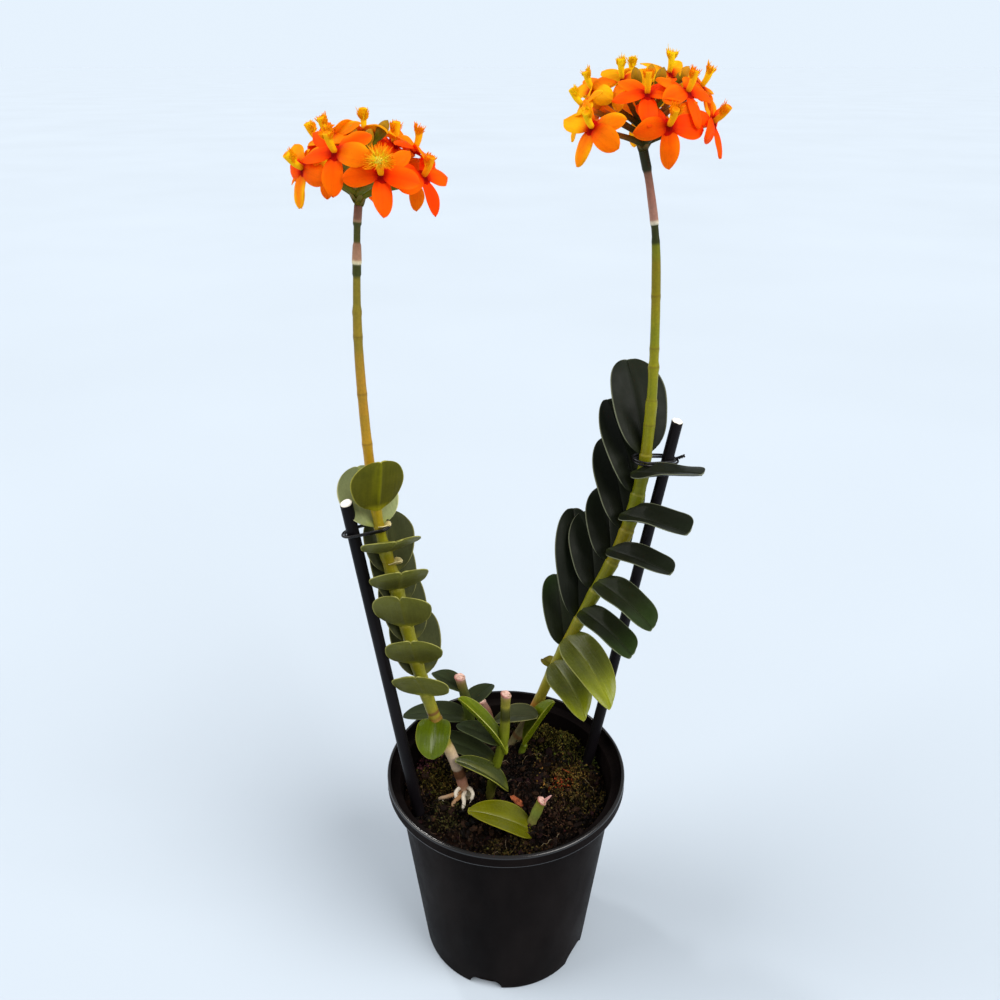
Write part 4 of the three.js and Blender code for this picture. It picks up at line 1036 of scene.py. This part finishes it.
def tassel(part, bloom, rng):
    """The open lip's ball of fine threads, bright yellow inside and orange at the tips."""
    end, face = bloom.claw, bloom.face
    # painted light: a core paler than the threads keeps the middle bright where the threads would
    # shade one another
    heart = end + face * 1.2 + 1.7 * ball(np.linspace(0, math.pi, 9), 12)
    part.add(heart, grid_faces(9, 12, True, True), tone("fff45a"))
    t = np.linspace(0, 1, 6)
    for _ in range(TASSEL_THREADS):
        out = rng.normal(size=3)
        out = unit(out + face * (0.1 - out @ face) + face * abs(rng.normal()) * 0.5)
        reach = bloom.size * rng.uniform(3.4, 5.8) * (1 + 0.4 * min(0, out @ bloom.up))
        bend = rng.normal(size=3) * 0.7
        line = end + face * 0.6 + out * (0.8 + (reach - 0.8) * t[:, None]) + bend * (t**2)[:, None]
        paint = blend(tone("fff030"), petal_tone(rng.uniform(0.35, 0.9)), ease(0.45, 1, t))
        tube(part, line, np.linspace(0.22, 0.08, 6), 4, paint)


def flower_stalk(part, origin, bloom, row, paint):
    """The curved stalk from the head's axis to the back of a flower, turning orange there."""
    z = row[2]
    foot = origin + vec((0, 0, -3 + 15 * min(1, z / 30)))
    outward = unit(vec((row[0], row[1], 0)))
    p = [foot, foot + outward * 6 + UP * 4, bloom.at(-8, 0), bloom.at(-0.8, 0)]
    t = np.linspace(0, 1, 26)
    s = t[:, None]
    line = (1 - s) ** 3 * p[0] + 3 * (1 - s) ** 2 * s * p[1] + 3 * (1 - s) * s * s * p[2] + s**3 * p[3]
    radii = np.interp(t, [0, 0.1, 0.45, 0.8, 0.94, 1], [1.7, 1.45, 1.15, 1.2, 1.35, 1.9])
    colour = blend(paint[0], paint[1], ease(0.1, 0.7, t))
    tube(part, line, radii, 12, blend(colour, ORANGE, 0.85 * ease(0.78, 0.97, t)))
    scale(part, foot, outward, paint[0])


def scale(part, foot, outward, paint):
    """The small pointed bract below a flower's stalk."""
    u, v = grid(np.linspace(0, 1, 7), np.linspace(-1, 1, 7))
    around = np.cross(outward, UP)
    half = 1.5 * (1 - u**1.6) + 0.05
    middle = (foot - UP * 2.2 + (1.6 + 1.9 * u)[..., None] * outward + (3.4 * u)[..., None] * UP
              + (v * half)[..., None] * around - (0.7 * v * v * (1 - u))[..., None] * outward)
    place = np.stack([u * 4, v, 0 * u], -1)
    colour = blend(paint, tone("b09458"), 0.5 * u)
    slab(part, middle, np.full(u.shape, 0.2), colour, colour * 0.8, place)


def flower_bud(part, origin, at, rng):
    """A thin stalk that swells to a closed bud at its tip."""
    tip = origin + vec(at)
    foot = origin + UP * 11
    way = unit(tip - foot)
    t = np.linspace(0, 1, 30)
    line = foot + (tip + way * 4.4 - foot) * t[:, None]
    span = np.linalg.norm(tip + way * 4.4 - foot)
    back = (1 - t) * span
    swell = np.sin(math.pi * np.clip(back / BUD_LENGTH, 0, 1) ** 0.8) ** 0.8
    radii = np.where(back < BUD_LENGTH, BUD_RADIUS * swell, 0)
    radii = np.maximum(radii, np.where(back < 2, 0.12, BUD_STALK_RADIUS))
    ripe = rng.uniform(0.45, 1)
    tube(part, line, radii, 16, blend(tone("5c5c0a"), tone("c07c08"), ease(8, 2, back) * ripe))


def flower_head(name, points, flowers, buds, radius, tints, stalk_paint):
    """The flowers and buds round an axis at the top of a cane."""
    rng = np.random.default_rng(len(flowers))
    origin = vec(points[-1])
    tangent = unit(origin - at_heights(points, origin[2] - 2))
    petals, lips, stalks = Part(), Part(), Part()
    t = np.linspace(0, 1, 26)
    axis = spline([origin - tangent * 0.2, origin + tangent * 4, origin + UP * 9, origin + UP * 16], t)
    girth = np.interp(t, [0, 0.3, 0.6, 1], [radius, radius * 1.15, 1.6, 0.9])
    tube(stalks, axis, girth, 20, blend(stalk_paint[0], stalk_paint[1], np.linspace(0, 0.6, 26)))
    for row, tint in zip(flowers, tints):
        bloom = Bloom(origin, row)
        for tepal_row in TEPALS:
            drift = rng.uniform(-TINT_SPREAD, TINT_SPREAD)
            tepal(petals, bloom, tepal_row, np.clip(tint + drift, 0, 1), rng)
        throat(petals, bloom)
        column(lips, bloom, tint)
        lip(lips, bloom, tint, rng)
        flower_stalk(stalks, origin, bloom, row, stalk_paint)
    for at in buds:
        flower_bud(stalks, origin, at, rng)
    make(petals, name + "_petals", [name], [PETAL])
    make(lips, name + "_lips", [name], [LIP])
    make(stalks, name + "_stalks", [name], [STALK])


# ---------- pot ----------
POT_TONE = tone("1b191b")
POT_SIDES = 180
# heights of the wall's rings, and the angle from which its edges are sharp
POT_BANDS = range(5, 104, 7)
POT_CREASE = 35
# a notch: its outline across and up as shares of its size, and from where to where it cuts outward
ARCH = [(-0.5 * math.cos(a), math.sin(a)) for a in np.linspace(0.1, math.pi - 0.1, 15)]
ARCH = [(-0.5, -0.3), *ARCH, (0.5, -0.3)]
NOTCH_REACH = (36.5, 50)


def wall_at(z):
    """Outer radius of the pot's wall at a height."""
    return POT_FOOT + (POT_TOP - POT_FOOT) * z / (POT_HEIGHT - POT_COLLAR)


def filleted(corners):
    """Outline through (radius, height, fillet) corners, with round fillets."""
    points = [vec(corners[0][:2])]
    for before, corner, after in zip(corners, corners[1:], corners[2:]):
        here = vec(corner[:2])
        a, b = unit(vec(before[:2]) - here), unit(vec(after[:2]) - here)
        for t in np.linspace(0, 1, 5) if corner[2] else [0.5]:
            start, end = here + a * corner[2], here + b * corner[2]
            points.append((1 - t) ** 2 * start + 2 * t * (1 - t) * here + t * t * end)
    points.append(vec(corners[-1][:2]))
    return np.array(points)


def turned(part, outline, sides, colour):
    """A body of revolution whose outline starts and ends on the axis."""
    angle = circle(sides)
    r, z = outline[1:-1, 0][:, None], outline[1:-1, 1][:, None]
    points = np.stack([r * np.cos(angle), r * np.sin(angle), z + 0 * angle], -1)
    part.add(points, barrel_faces(len(points), sides), colour)


def pot_corners(under):
    """Radius, height and fillet of the pot's corners, up its outside and down its inside."""
    ledge = wall_at(under) - POT_WALL
    wall = [(wall_at(z), z, 0) for z in POT_BANDS]
    collar = [(wall_at(under), under, 0.5), (POT_RIM, under, 0.7), (POT_RIM - 0.15, under + 3, 0),
              (POT_RIM, POT_HEIGHT, 1.3), (POT_RIM - 1.7, POT_HEIGHT, 0.6),
              (POT_RIM - 2, under + 1.6, 0.7), (ledge + 1.2, under + 1.2, 0.4),
              (ledge, under + 1.2, 0.6)]
    inside = [(wall_at(60) - POT_WALL, 60, 0), (wall_at(POT_FLOOR) - POT_WALL, POT_FLOOR, 1)]
    return [(0, 0, 0), (POT_FOOT - 3, 0, 0), (POT_FOOT, 0, 1.2), *wall, *collar, *inside,
            (0, POT_FLOOR, 0)]


def pot():
    """The nursery pot, with its drainage notches cut out and a shinier rim."""
    under = POT_HEIGHT - POT_COLLAR
    part = Part()
    turned(part, filleted(pot_corners(under)), POT_SIDES, POT_TONE)
    obj = make(part, "nursery_pot", ["pot"], [POT_BLACK], POT_CREASE)
    carve(obj, notch_cutter())
    obj.data.materials.append(RIM_BLACK)
    for face in obj.data.polygons:
        height = face.center.z / MM
        out = math.hypot(face.center.x, face.center.y) / MM
        if height > POT_HEIGHT - 1.2 or (abs(height - under) < 0.9 and out > POT_RIM - 1.2):
            face.material_index = 1


def notch_cutter():
    """The ring of arches that the drainage notches are cut with."""
    part = Part()
    for k in range(NOTCH_COUNT):
        turn = math.radians(NOTCH_FIRST + 360 * k / NOTCH_COUNT)
        out = vec((math.cos(turn), math.sin(turn), 0))
        side = vec((-math.sin(turn), math.cos(turn), 0))
        rows = [[out * r + side * x * NOTCH_WIDTH + UP * z * NOTCH_HEIGHT for x, z in ARCH[::-1]]
                for r in NOTCH_REACH]
        part.add(rows, barrel_faces(2, len(ARCH)), POT_TONE)
    return make(part, "notch_cutter", [], [POT_BLACK])


def carve(obj, tool):
    """Cuts the tool away from obj and removes the tool."""
    cut = obj.modifiers.new("cut", "BOOLEAN")
    cut.operation = "DIFFERENCE"
    cut.solver = "EXACT"
    cut.object = tool
    bpy.context.view_layer.update()
    carved = obj.evaluated_get(bpy.context.evaluated_depsgraph_get())
    mesh = bpy.data.meshes.new_from_object(carved)
    obj.modifiers.clear()
    obj.data = mesh
    bpy.data.objects.remove(tool)
    mesh.set_sharp_from_angle(angle=math.radians(POT_CREASE))


# ---------- soil, bark, moss and fibres ----------
# moss patches: centre, reach, colour, share of the ground covered
MOSS_PATCHES = [
    ((30, 39), 15, "655d29", 1.0), ((42, 28), 11, "555426", 0.8), ((49, 19), 7, "444d23", 0.6),
    ((31, 5), 10, "7e6432", 0.9), ((29, 3), 5, "ac4a29", 0.7), ((-45, 16), 8, "6a4048", 0.8),
    ((-35, 7), 11, "5c4e24", 1.0), ((-28, -20), 9, "464023", 0.5), ((40, -8), 12, "544726", 0.7),
    ((24, -20), 10, "463226", 0.5), ((0, -44), 12, "4d4022", 0.6), ((10, 45), 10, "474723", 0.6)]
MOSS_DIMMED = 0.2
GRAINS_PER_AREA = 15
STRAND_EVERY = 9
# texture of the tufts, shared by the soil's height and the moss grains
TUFT_SIZE = 4.5
TUFT_SEED = 81
# the soil solid: play to the pot's wall, height of its base, rings and sides of its top
SOIL_PLAY = 0.35
SOIL_BASE = POT_FLOOR + 0.4
SOIL_RINGS = 120
SOIL_SIDES = 300
SOIL_BANDS = (70, 30, SOIL_BASE)
# litter: how many pieces are tried, their colours, and how far out they lie
BARK_PIECES = 760
BARK_REACH = 50.5
BARK_TONES = ("0e0805", "180e09", "0a0604", "22140e", "220d0e", "3a2618")
CHIP_AT = (6.5, -10.5)
FLAT_SHARE = 0.75
PEAT_GRAINS = 5200
PEAT_REACH = 51
PEAT_TONES = ("060403", "100a06", "1c100a", "28160e", "38281a")
ROOTLETS = 46
ROOTLET_REACH = 47
ROOTLET_STEP = 1.1
ROOTLET_BEND = 22


def mound(x, y):
    """The broad rise and fall of the soil."""
    return (1.6 * np.sin(x / 9 + 1.1) * np.cos(y / 8 - 0.6) + 1.1 * np.sin(x / 4.3 - y / 5.1)
            + 2.6 * np.exp(-((x - 30) ** 2 + (y - 27) ** 2) / 260)
            - 1.6 * np.exp(-(x**2 + (y - 4) ** 2) / 120))


def nearness(x, y, centre, reach):
    """1 at the centre of a patch, falling towards 0 beyond its reach."""
    return np.exp(-((x - centre[0]) ** 2 + (y - centre[1]) ** 2) / reach**2)


def mossy(x, y):
    """How mossy the soil is at a place, from 0 to 1."""
    cover = 0
    for centre, reach, _, share in MOSS_PATCHES:
        cover = np.maximum(cover, share * nearness(x, y, centre, reach))
    return cover


def soil_height(x, y):
    """Height of the soil's rough surface."""
    p = on_plane(x, y)
    clods = 1.7 * rough_noise(p, 8, 2, 61) + 2.1 * np.abs(rough_noise(p, 3.6, 3, 71))
    tufts = 3 * mossy(x, y) * (0.25 + 0.9 * noise(p, TUFT_SIZE, TUFT_SEED))
    return SOIL_LEVEL - 0.6 + mound(x, y) + clods + tufts


def ground(x, y):
    """Height of the soil at one place."""
    return float(soil_height(np.float64(x), np.float64(y)))


def soil_paint(x, y):
    """Colours of the soil: browns with near-black patches, partly dark peat and partly painted shade
    of the gaps between crumbs, tinted under the moss.
    """
    p = on_plane(x, y)
    paint = blend(tone("0c0705"), tone("1e110a"), ease(-0.4, 0.7, rough_noise(p, 5, 3, 91)))
    # painted shade: near-black patches that stand for the dark gaps between crumbs
    paint = blend(paint, tone("040302"), 0.85 * ease(0.05, 0.7, rough_noise(p, 7, 3, 97)))
    for centre, reach, colour, share in MOSS_PATCHES:
        cover = share * nearness(x, y, centre, reach) * ease(-0.5, 0.6, noise(p, 3, 99))
        paint = blend(paint, tone(colour) * MOSS_DIMMED, cover)
    return paint


def potting_mix():
    """The filled soil: its rough top, its side along the pot's wall and its flat base."""
    part = Part()
    edge = wall_at(SOIL_LEVEL) - POT_WALL - SOIL_PLAY
    r, a = polar(np.linspace(0.4, edge, SOIL_RINGS), SOIL_SIDES)
    x, y = r * np.cos(a), r * np.sin(a)
    z = soil_height(x, y)
    z = z + (SOIL_LEVEL - 0.5 - z) * ease(edge - 2.5, edge, r) * 0.6
    rings = [np.stack([x, y, z], -1)]
    for low in SOIL_BANDS:
        s = (wall_at(low) - POT_WALL - SOIL_PLAY) / edge
        rings.append(np.stack([x[-1:] * s, y[-1:] * s, 0 * x[-1:] + low], -1))
    rings.append(np.stack([x[:1], y[:1], 0 * x[:1] + SOIL_BASE], -1))
    points = np.concatenate(rings)
    buried = np.broadcast_to(tone("1c120c"), (len(rings) - 1, SOIL_SIDES, 3))
    colours = np.concatenate([soil_paint(x, y), buried])
    part.add(points, grid_faces(len(points), SOIL_SIDES, True, True), colours)
    make(part, "potting_mix", ["soil"], [SOIL], 180)


def lump(part, centre, size, rng, paint):
    """An angular crumb of bark or peat: most lie flat, turned about the vertical."""
    shape = ball(np.linspace(0.2, math.pi - 0.2, 6), 8)
    rough = 1 + 0.3 * noise(shape + centre, 0.8, 5)[..., None]
    shape = np.sign(shape) * np.abs(shape) ** 0.75 * rough
    turn, _ = np.linalg.qr(rng.normal(size=(3, 3)))
    if rng.random() < FLAT_SHARE:
        c, s = math.cos(centre[0]), math.sin(centre[0])
        turn = np.array([[c, -s, 0.15], [s, c, -0.2], [-0.15, 0.2, 1]])
    part.add(centre + (shape * size) @ turn.T, barrel_faces(6, 8), paint)


def scatter(rng, reach):
    """A random place on the soil, seen from above."""
    r, a = reach * math.sqrt(rng.random()), rng.uniform(0, 2 * math.pi)
    return r * math.cos(a), r * math.sin(a)


def bark():
    """Crumbs of bark between the mossy places, and one large reddish chip."""
    part = Part()
    rng = np.random.default_rng(3)
    shades = [tone(c) for c in BARK_TONES]
    for _ in range(BARK_PIECES):
        x, y = scatter(rng, BARK_REACH)
        if rng.random() < 0.9 * mossy(x, y):
            continue
        size = rng.uniform(0.6, 2.4) * vec((1, rng.uniform(0.4, 0.9), rng.uniform(0.3, 0.7)))
        centre = vec((x, y, ground(x, y) + 0.15))
        lump(part, centre, size, rng, shades[rng.integers(len(shades))] * rng.uniform(0.6, 1.15))
    chip = vec((*CHIP_AT, ground(*CHIP_AT) + 1.2))
    lump(part, chip, vec((5.2, 2.0, 1.0)), rng, tone("a85a38"))
    make(part, "bark_chips", [], [BARK], 40)


# corners of an eight-sided grain: three points one way, three the other
GRAIN_FACES = ((0, 1, 2), (1, 3, 2), (3, 4, 2), (4, 0, 2), (1, 0, 5), (3, 1, 5), (4, 3, 5), (0, 4, 5))


def crumbs(part, x, y, size, paint, rng, lift=0.0):
    """Many tiny eight-sided grains on the soil, each with its own size and colour."""
    height = soil_height(x, y) + 0.25 * size + lift * rng.random(len(x))
    centre = np.stack([x, y, height], -1)[:, None]
    axes = np.linalg.qr(rng.normal(size=(len(x), 3, 3)))[0]
    axes[:, 2] = np.cross(axes[:, 0], axes[:, 1])
    arms = axes * size[:, None, None] * rng.uniform(0.6, 1.3, (len(x), 3, 1))
    points = np.concatenate([centre + arms, centre - arms], 1)
    faces = [[6 * k + i for i in corner] for k in range(len(x)) for corner in GRAIN_FACES]
    part.add(points.reshape(-1, 3), faces, np.repeat(paint, 6, axis=0))


def moss():
    """Tufts of fine grains over the moss patches, with short strands between them."""
    part = Part()
    rng = np.random.default_rng(5)
    for centre, reach, colour, share in MOSS_PATCHES:
        count = int(GRAINS_PER_AREA * reach**2 * share)
        x, y = [middle + rng.normal(size=count) * reach * 0.6 for middle in centre]
        tuft = noise(on_plane(x, y), TUFT_SIZE, TUFT_SEED)
        keep = (np.hypot(x, y) < PEAT_REACH) & (tuft > rng.uniform(-0.9, 0.2, count))
        x, y = x[keep], y[keep]
        shade = rng.uniform(0.05, 1, (len(x), 1)) ** 1.5
        shade = shade * (1.12 + 0.13 * rng.normal(size=(len(x), 3)))
        crumbs(part, x, y, rng.uniform(0.2, 0.75, len(x)), tone(colour) * shade, rng, 1.5)
        for k in range(0, len(x), STRAND_EVERY):
            strand(part, x[k], y[k], tone(colour), rng)
    make(part, "moss_tufts", [], [MOSS], 60)


def strand(part, x, y, colour, rng):
    """One short bent strand of moss."""
    start = vec((x, y, ground(x, y) - 0.2))
    way = unit(vec((rng.normal() * 0.8, rng.normal() * 0.8, 1)))
    bend = rng.normal(size=3) * 0.8
    t = np.linspace(0, 1, 4)[:, None]
    line = start + rng.uniform(1, 2.6) * (way * t + bend * t * t * 0.6)
    radii = np.array([0.14, 0.17, 0.12, 0.04]) * rng.uniform(0.7, 1.3)
    tube(part, line, radii, 3, colour * rng.uniform(0.4, 1.5))


def grit():
    """Dark peat grains over all the soil."""
    part = Part()
    rng = np.random.default_rng(21)
    r = PEAT_REACH * np.sqrt(rng.random(PEAT_GRAINS))
    a = rng.uniform(0, 2 * math.pi, PEAT_GRAINS)
    shades = np.stack([tone(c) for c in PEAT_TONES])
    paint = shades[rng.integers(0, len(shades), PEAT_GRAINS)] * rng.uniform(0.6, 1.4, (PEAT_GRAINS, 1))
    size = rng.uniform(0.25, 0.95, PEAT_GRAINS)
    crumbs(part, r * np.cos(a), r * np.sin(a), size, paint, rng)
    make(part, "peat_grains", [], [BARK], 60)


def fibres():
    """Dead rootlets that lie over the soil in loops: brown ones, and some that may be pale."""
    part = Part()
    rng = np.random.default_rng(8)
    for k in range(ROOTLETS):
        x, y = scatter(rng, ROOTLET_REACH)
        turn = rng.uniform(0, 360)
        line = []
        for _ in range(rng.integers(7, 18)):
            line.append((x, y, ground(x, y) + rng.uniform(0.2, 1.1)))
            x += ROOTLET_STEP * math.cos(math.radians(turn))
            y += ROOTLET_STEP * math.sin(math.radians(turn))
            turn += rng.normal() * ROOTLET_BEND
            if math.hypot(x, y) > BARK_REACH:
                break
        if len(line) < 4:
            continue
        path = spline(line, np.linspace(0, 1, 3 * len(line)))
        pale = blend(tone("4c3420"), tone("b0a07c"), rng.random() * (k % 4 == 0))
        tube(part, path, rng.uniform(0.06, 0.13), 5, pale)
    make(part, "rootlets", [], [ROOT], 60)


# ---------- stakes and ties ----------
# how far a stake goes on below its foot, and its cut face as a share of its radius
STAKE_BURIED = 18
PITH_RADIUS = 0.92
STAKE_SIDES = 40
TIE_STEPS = 144
TIE_TONE = tone("09080b")
# weights that smooth the wire's path
SMOOTHING = np.array([1, 2, 3, 4, 3, 2, 1]) / 16
# one wire of a twisted pair: radius, and distance from the pair's middle
TWIST_RADIUS = 0.42
TWIST_APART = 0.45


def stake(name):
    """A black rod whose pale cut top slants down to the front."""
    foot, top = [vec(p) for p in STAKES[name]]
    way = unit(top - foot)
    side = unit(np.cross(way, UP))
    other = np.cross(way, side)
    length = np.linalg.norm(top - foot)
    steps = np.linspace(-STAKE_BURIED, length - 2, 60)
    steps = np.concatenate([steps, [length - 0.6, length - 0.3]])
    line = foot + steps[:, None] * way
    radii = np.full(len(steps), STAKE_RADIUS) * (1 + 0.012 * noise(line, 12, 7))
    radii[-1] -= 0.12
    angle = circle(STAKE_SIDES)
    ring = np.cos(angle)[:, None] * side + np.sin(angle)[:, None] * other
    points = line[:, None] + radii[:, None, None] * ring
    slant = STAKE_SLANT * STAKE_RADIUS * ring[:, 1] * ease(length - 2, length - 0.5, steps)[:, None]
    part = Part()
    part.add(points + slant[..., None] * way, barrel_faces(len(steps), STAKE_SIDES), tone("0c0b0e"))
    pith(part, top, way, side, other)
    make(part, name + "_fine", [name], [STAKE_BLACK, PITH])


def pith(part, top, way, side, other):
    """The pale cut face on a stake's top, slanting with its rim."""
    r, a = polar(np.linspace(0.02, PITH_RADIUS, 8), STAKE_SIDES)
    x, y = r * np.cos(a) * STAKE_RADIUS, r * np.sin(a) * STAKE_RADIUS
    flat = x[..., None] * side + y[..., None] * other
    lift = STAKE_SLANT * flat[..., 1] + 0.25 + 0.16 * noise(on_plane(x, y), 1.1, 3)
    points = top + flat + (lift - 0.35 * ease(0.8, PITH_RADIUS, r))[..., None] * way
    under = np.broadcast_to(top - 1.6 * way, (1, STAKE_SIDES, 3)) + 0.02 * (points[:1] - top)
    paint = blend(tone("fffefa"), tone("e4dccc"), ease(0.7, PITH_RADIUS, r))
    add_cap(part, points, under, paint, look=1)


# ties: cane, its stake, heights on both, how far the wire stands off both centre lines, and the
# twisted ends as start along the way from cane to stake, direction across, back and up, length
TIES = {
    "tie_left": (CANE_LEFT, "stake_left", 248.5, 246, 4.9, 4.2, ()),
    "tie_right": (CANE_RIGHT, "stake_right", 260.5, 259, 5.9, 4.6,
                  ((4.4, (0.5, -0.55, 0.5), 5.2),)),
}


def tie(name):
    """Black wire wound twice round a cane and its stake."""
    points, stake_name, cane_z, stake_z, cane_reach, stake_reach, ends = TIES[name]
    low, high = [vec(p) for p in STAKES[stake_name]]
    near = at_heights(points, cane_z)
    far = low + (high - low) * (stake_z - low[2]) / (high[2] - low[2])
    across = unit(far - near)
    other = unit(np.cross(UP, across))
    t = 4 * math.pi * (np.arange(TIE_STEPS) + 0.5) / TIE_STEPS
    left = np.cos(t) < 0
    centre = np.where(left[:, None], near, far)
    r = np.where(left, cane_reach, stake_reach) + WIRE_SPREAD * np.cos(t / 2)
    line = (centre + (r * np.cos(t))[:, None] * across + (r * np.sin(t))[:, None] * other
            + (WIRE_SPREAD * np.sin(t / 2))[:, None] * UP)
    padded = np.concatenate([line[-3:], line, line[:3]])
    line = np.stack([np.convolve(padded[:, k], SMOOTHING, "valid") for k in range(3)], -1)
    part = Part()
    ring_tube(part, line, WIRE_RADIUS, 12, TIE_TONE)
    for begin, way, length in ends:
        way = unit(across * way[0] + other * way[1] + UP * way[2])
        twist(part, far + across * begin, way, other, length)
    make(part, name + "_fine", [name], [WIRE_BLACK])


def twist(part, start, way, other, length):
    """The wire's two ends, twisted round each other."""
    flat = unit(np.cross(way, other))
    reach = np.linspace(-1, length, 30)[:, None]
    turn = np.linspace(0, 5 * math.pi, 30)
    for phase in (0, math.pi):
        swing = TWIST_APART * (np.cos(turn + phase)[:, None] * np.cross(way, flat)
                               + np.sin(turn + phase)[:, None] * flat)
        tube(part, start + reach * way + swing, TWIST_RADIUS, 10, TIE_TONE)


# ---------- floor, light and camera ----------
BACKDROP = (0.797, 0.892, 0.99)
FLOOR_PAPER = (0.514, 0.579, 0.652)
# half the floor's width, in metres
FLOOR_HALF = 60
FLOOR_CLOUDS = 1.5
SKY = (0.94, 0.97, 1)
SKY_STRENGTH = 0.5
SUNLIGHT = (1, 0.98, 0.95)
# name, direction towards the light, strength, softness in degrees
SUNS = (("key", (0.7, -0.5, 0.75), 2.9, 45), ("fill", (-0.8, -0.05, 0.6), 2, 45),
        ("glint", (-0.3, 0.35, 0.8), 0.35, 4))
# the camera: place in metres, degrees it looks down, focal length and sensor width in millimetres
CAMERA_PLACE = (-0.003, -0.352, 0.434)
CAMERA_PITCH = 26.1
LENS = 32.4
SENSOR = 36


def stage():
    """The pale paper floor, faintly clouded."""
    floor = bpy.data.meshes.new("floor")
    corners = [(x * FLOOR_HALF, y * FLOOR_HALF, 0) for x, y in ((-1, -1), (1, -1), (1, 1), (-1, 1))]
    floor.from_pydata(corners, [], [(0, 1, 2, 3)])
    material, tree, shader = principled("floor_paper", 0.95, 0.05)
    spot = node(tree, "ShaderNodeTexCoord").outputs["Object"]
    cloud = noise_factor(tree, spot, EVEN, FLOOR_CLOUDS, 2, 0.98, 1.02)
    shade = node(tree, "ShaderNodeRGB")
    shade.outputs[0].default_value = (*FLOOR_PAPER, 1)
    tree.links.new(times(tree, shade.outputs[0], cloud), shader.inputs["Base Color"])
    floor.materials.append(material)
    obj = placed("floor", floor)


def sun(name, toward, strength, softness):
    """A soft far light that shines from the given direction."""
    light = bpy.data.lights.new(name, "SUN")
    light.energy = strength
    light.angle = math.radians(softness)
    light.color = SUNLIGHT
    obj = placed(name, light)
    way = unit(vec(toward))
    obj.rotation_euler = (math.acos(way[2]), 0, math.atan2(way[1], way[0]) + math.pi / 2)


def lights():
    """The suns, and a sky that looks pale blue to the camera but lights almost white."""
    world = bpy.data.worlds.new("studio")
    bpy.context.scene.world = world
    world.use_nodes = True
    tree = world.node_tree
    backdrop = tree.nodes["Background"]
    backdrop.inputs["Color"].default_value = (*BACKDROP, 1)
    glow = node(tree, "ShaderNodeBackground", Strength=SKY_STRENGTH)
    glow.inputs["Color"].default_value = (*SKY, 1)
    seen = node(tree, "ShaderNodeLightPath").outputs["Is Camera Ray"]
    both = node(tree, "ShaderNodeMixShader")
    tree.links.new(seen, both.inputs[0])
    tree.links.new(glow.outputs[0], both.inputs[1])
    tree.links.new(backdrop.outputs[0], both.inputs[2])
    tree.links.new(both.outputs[0], tree.nodes["World Output"].inputs["Surface"])
    for name, toward, strength, softness in SUNS:
        sun(name, toward, strength, softness)


def camera():
    """The photo's viewpoint: level with the flowers, looking down on the pot."""
    lens = bpy.data.cameras.new("camera")
    lens.lens = LENS
    lens.sensor_width = SENSOR
    lens.clip_end = 100
    obj = placed("camera", lens)
    obj.location = CAMERA_PLACE
    obj.rotation_euler = (math.radians(90 - CAMERA_PITCH), 0, 0)
    bpy.context.scene.camera = obj


# ---------- the whole picture ----------
camera()
lights()
stage()
bpy.context.scene.view_settings.view_transform = "Standard"
pot()
potting_mix()
bark()
moss()
grit()
fibres()
cane_stem("cane_left", CANE_LEFT, LEAVES_LEFT, FOOT_LEFT, STALK_LEFT, PAINT_LEFT)
cane_leaves("cane_left", CANE_LEFT, LEAVES_LEFT + BRACTS_LEFT)
aerial_roots()
cane_stem("cane_right", CANE_RIGHT, LEAVES_RIGHT, FOOT_RIGHT, STALK_RIGHT, PAINT_RIGHT)
cane_leaves("cane_right", CANE_RIGHT, LEAVES_RIGHT)
flower_head("flower_head_left", CANE_LEFT, FLOWERS_LEFT, BUDS_LEFT, 1.6, TINTS_LEFT,
            (tone("58580e"), tone("6c6410")))
flower_head("flower_head_right", CANE_RIGHT, FLOWERS_RIGHT, BUDS_RIGHT, 2.1, TINTS_RIGHT,
            (tone("2c2e0a"), tone("8a5210")))
for shoot_name in SHOOTS:
    shoot(shoot_name)
for stake_name in STAKES:
    stake(stake_name)
for tie_name in TIES:
    tie(tie_name)
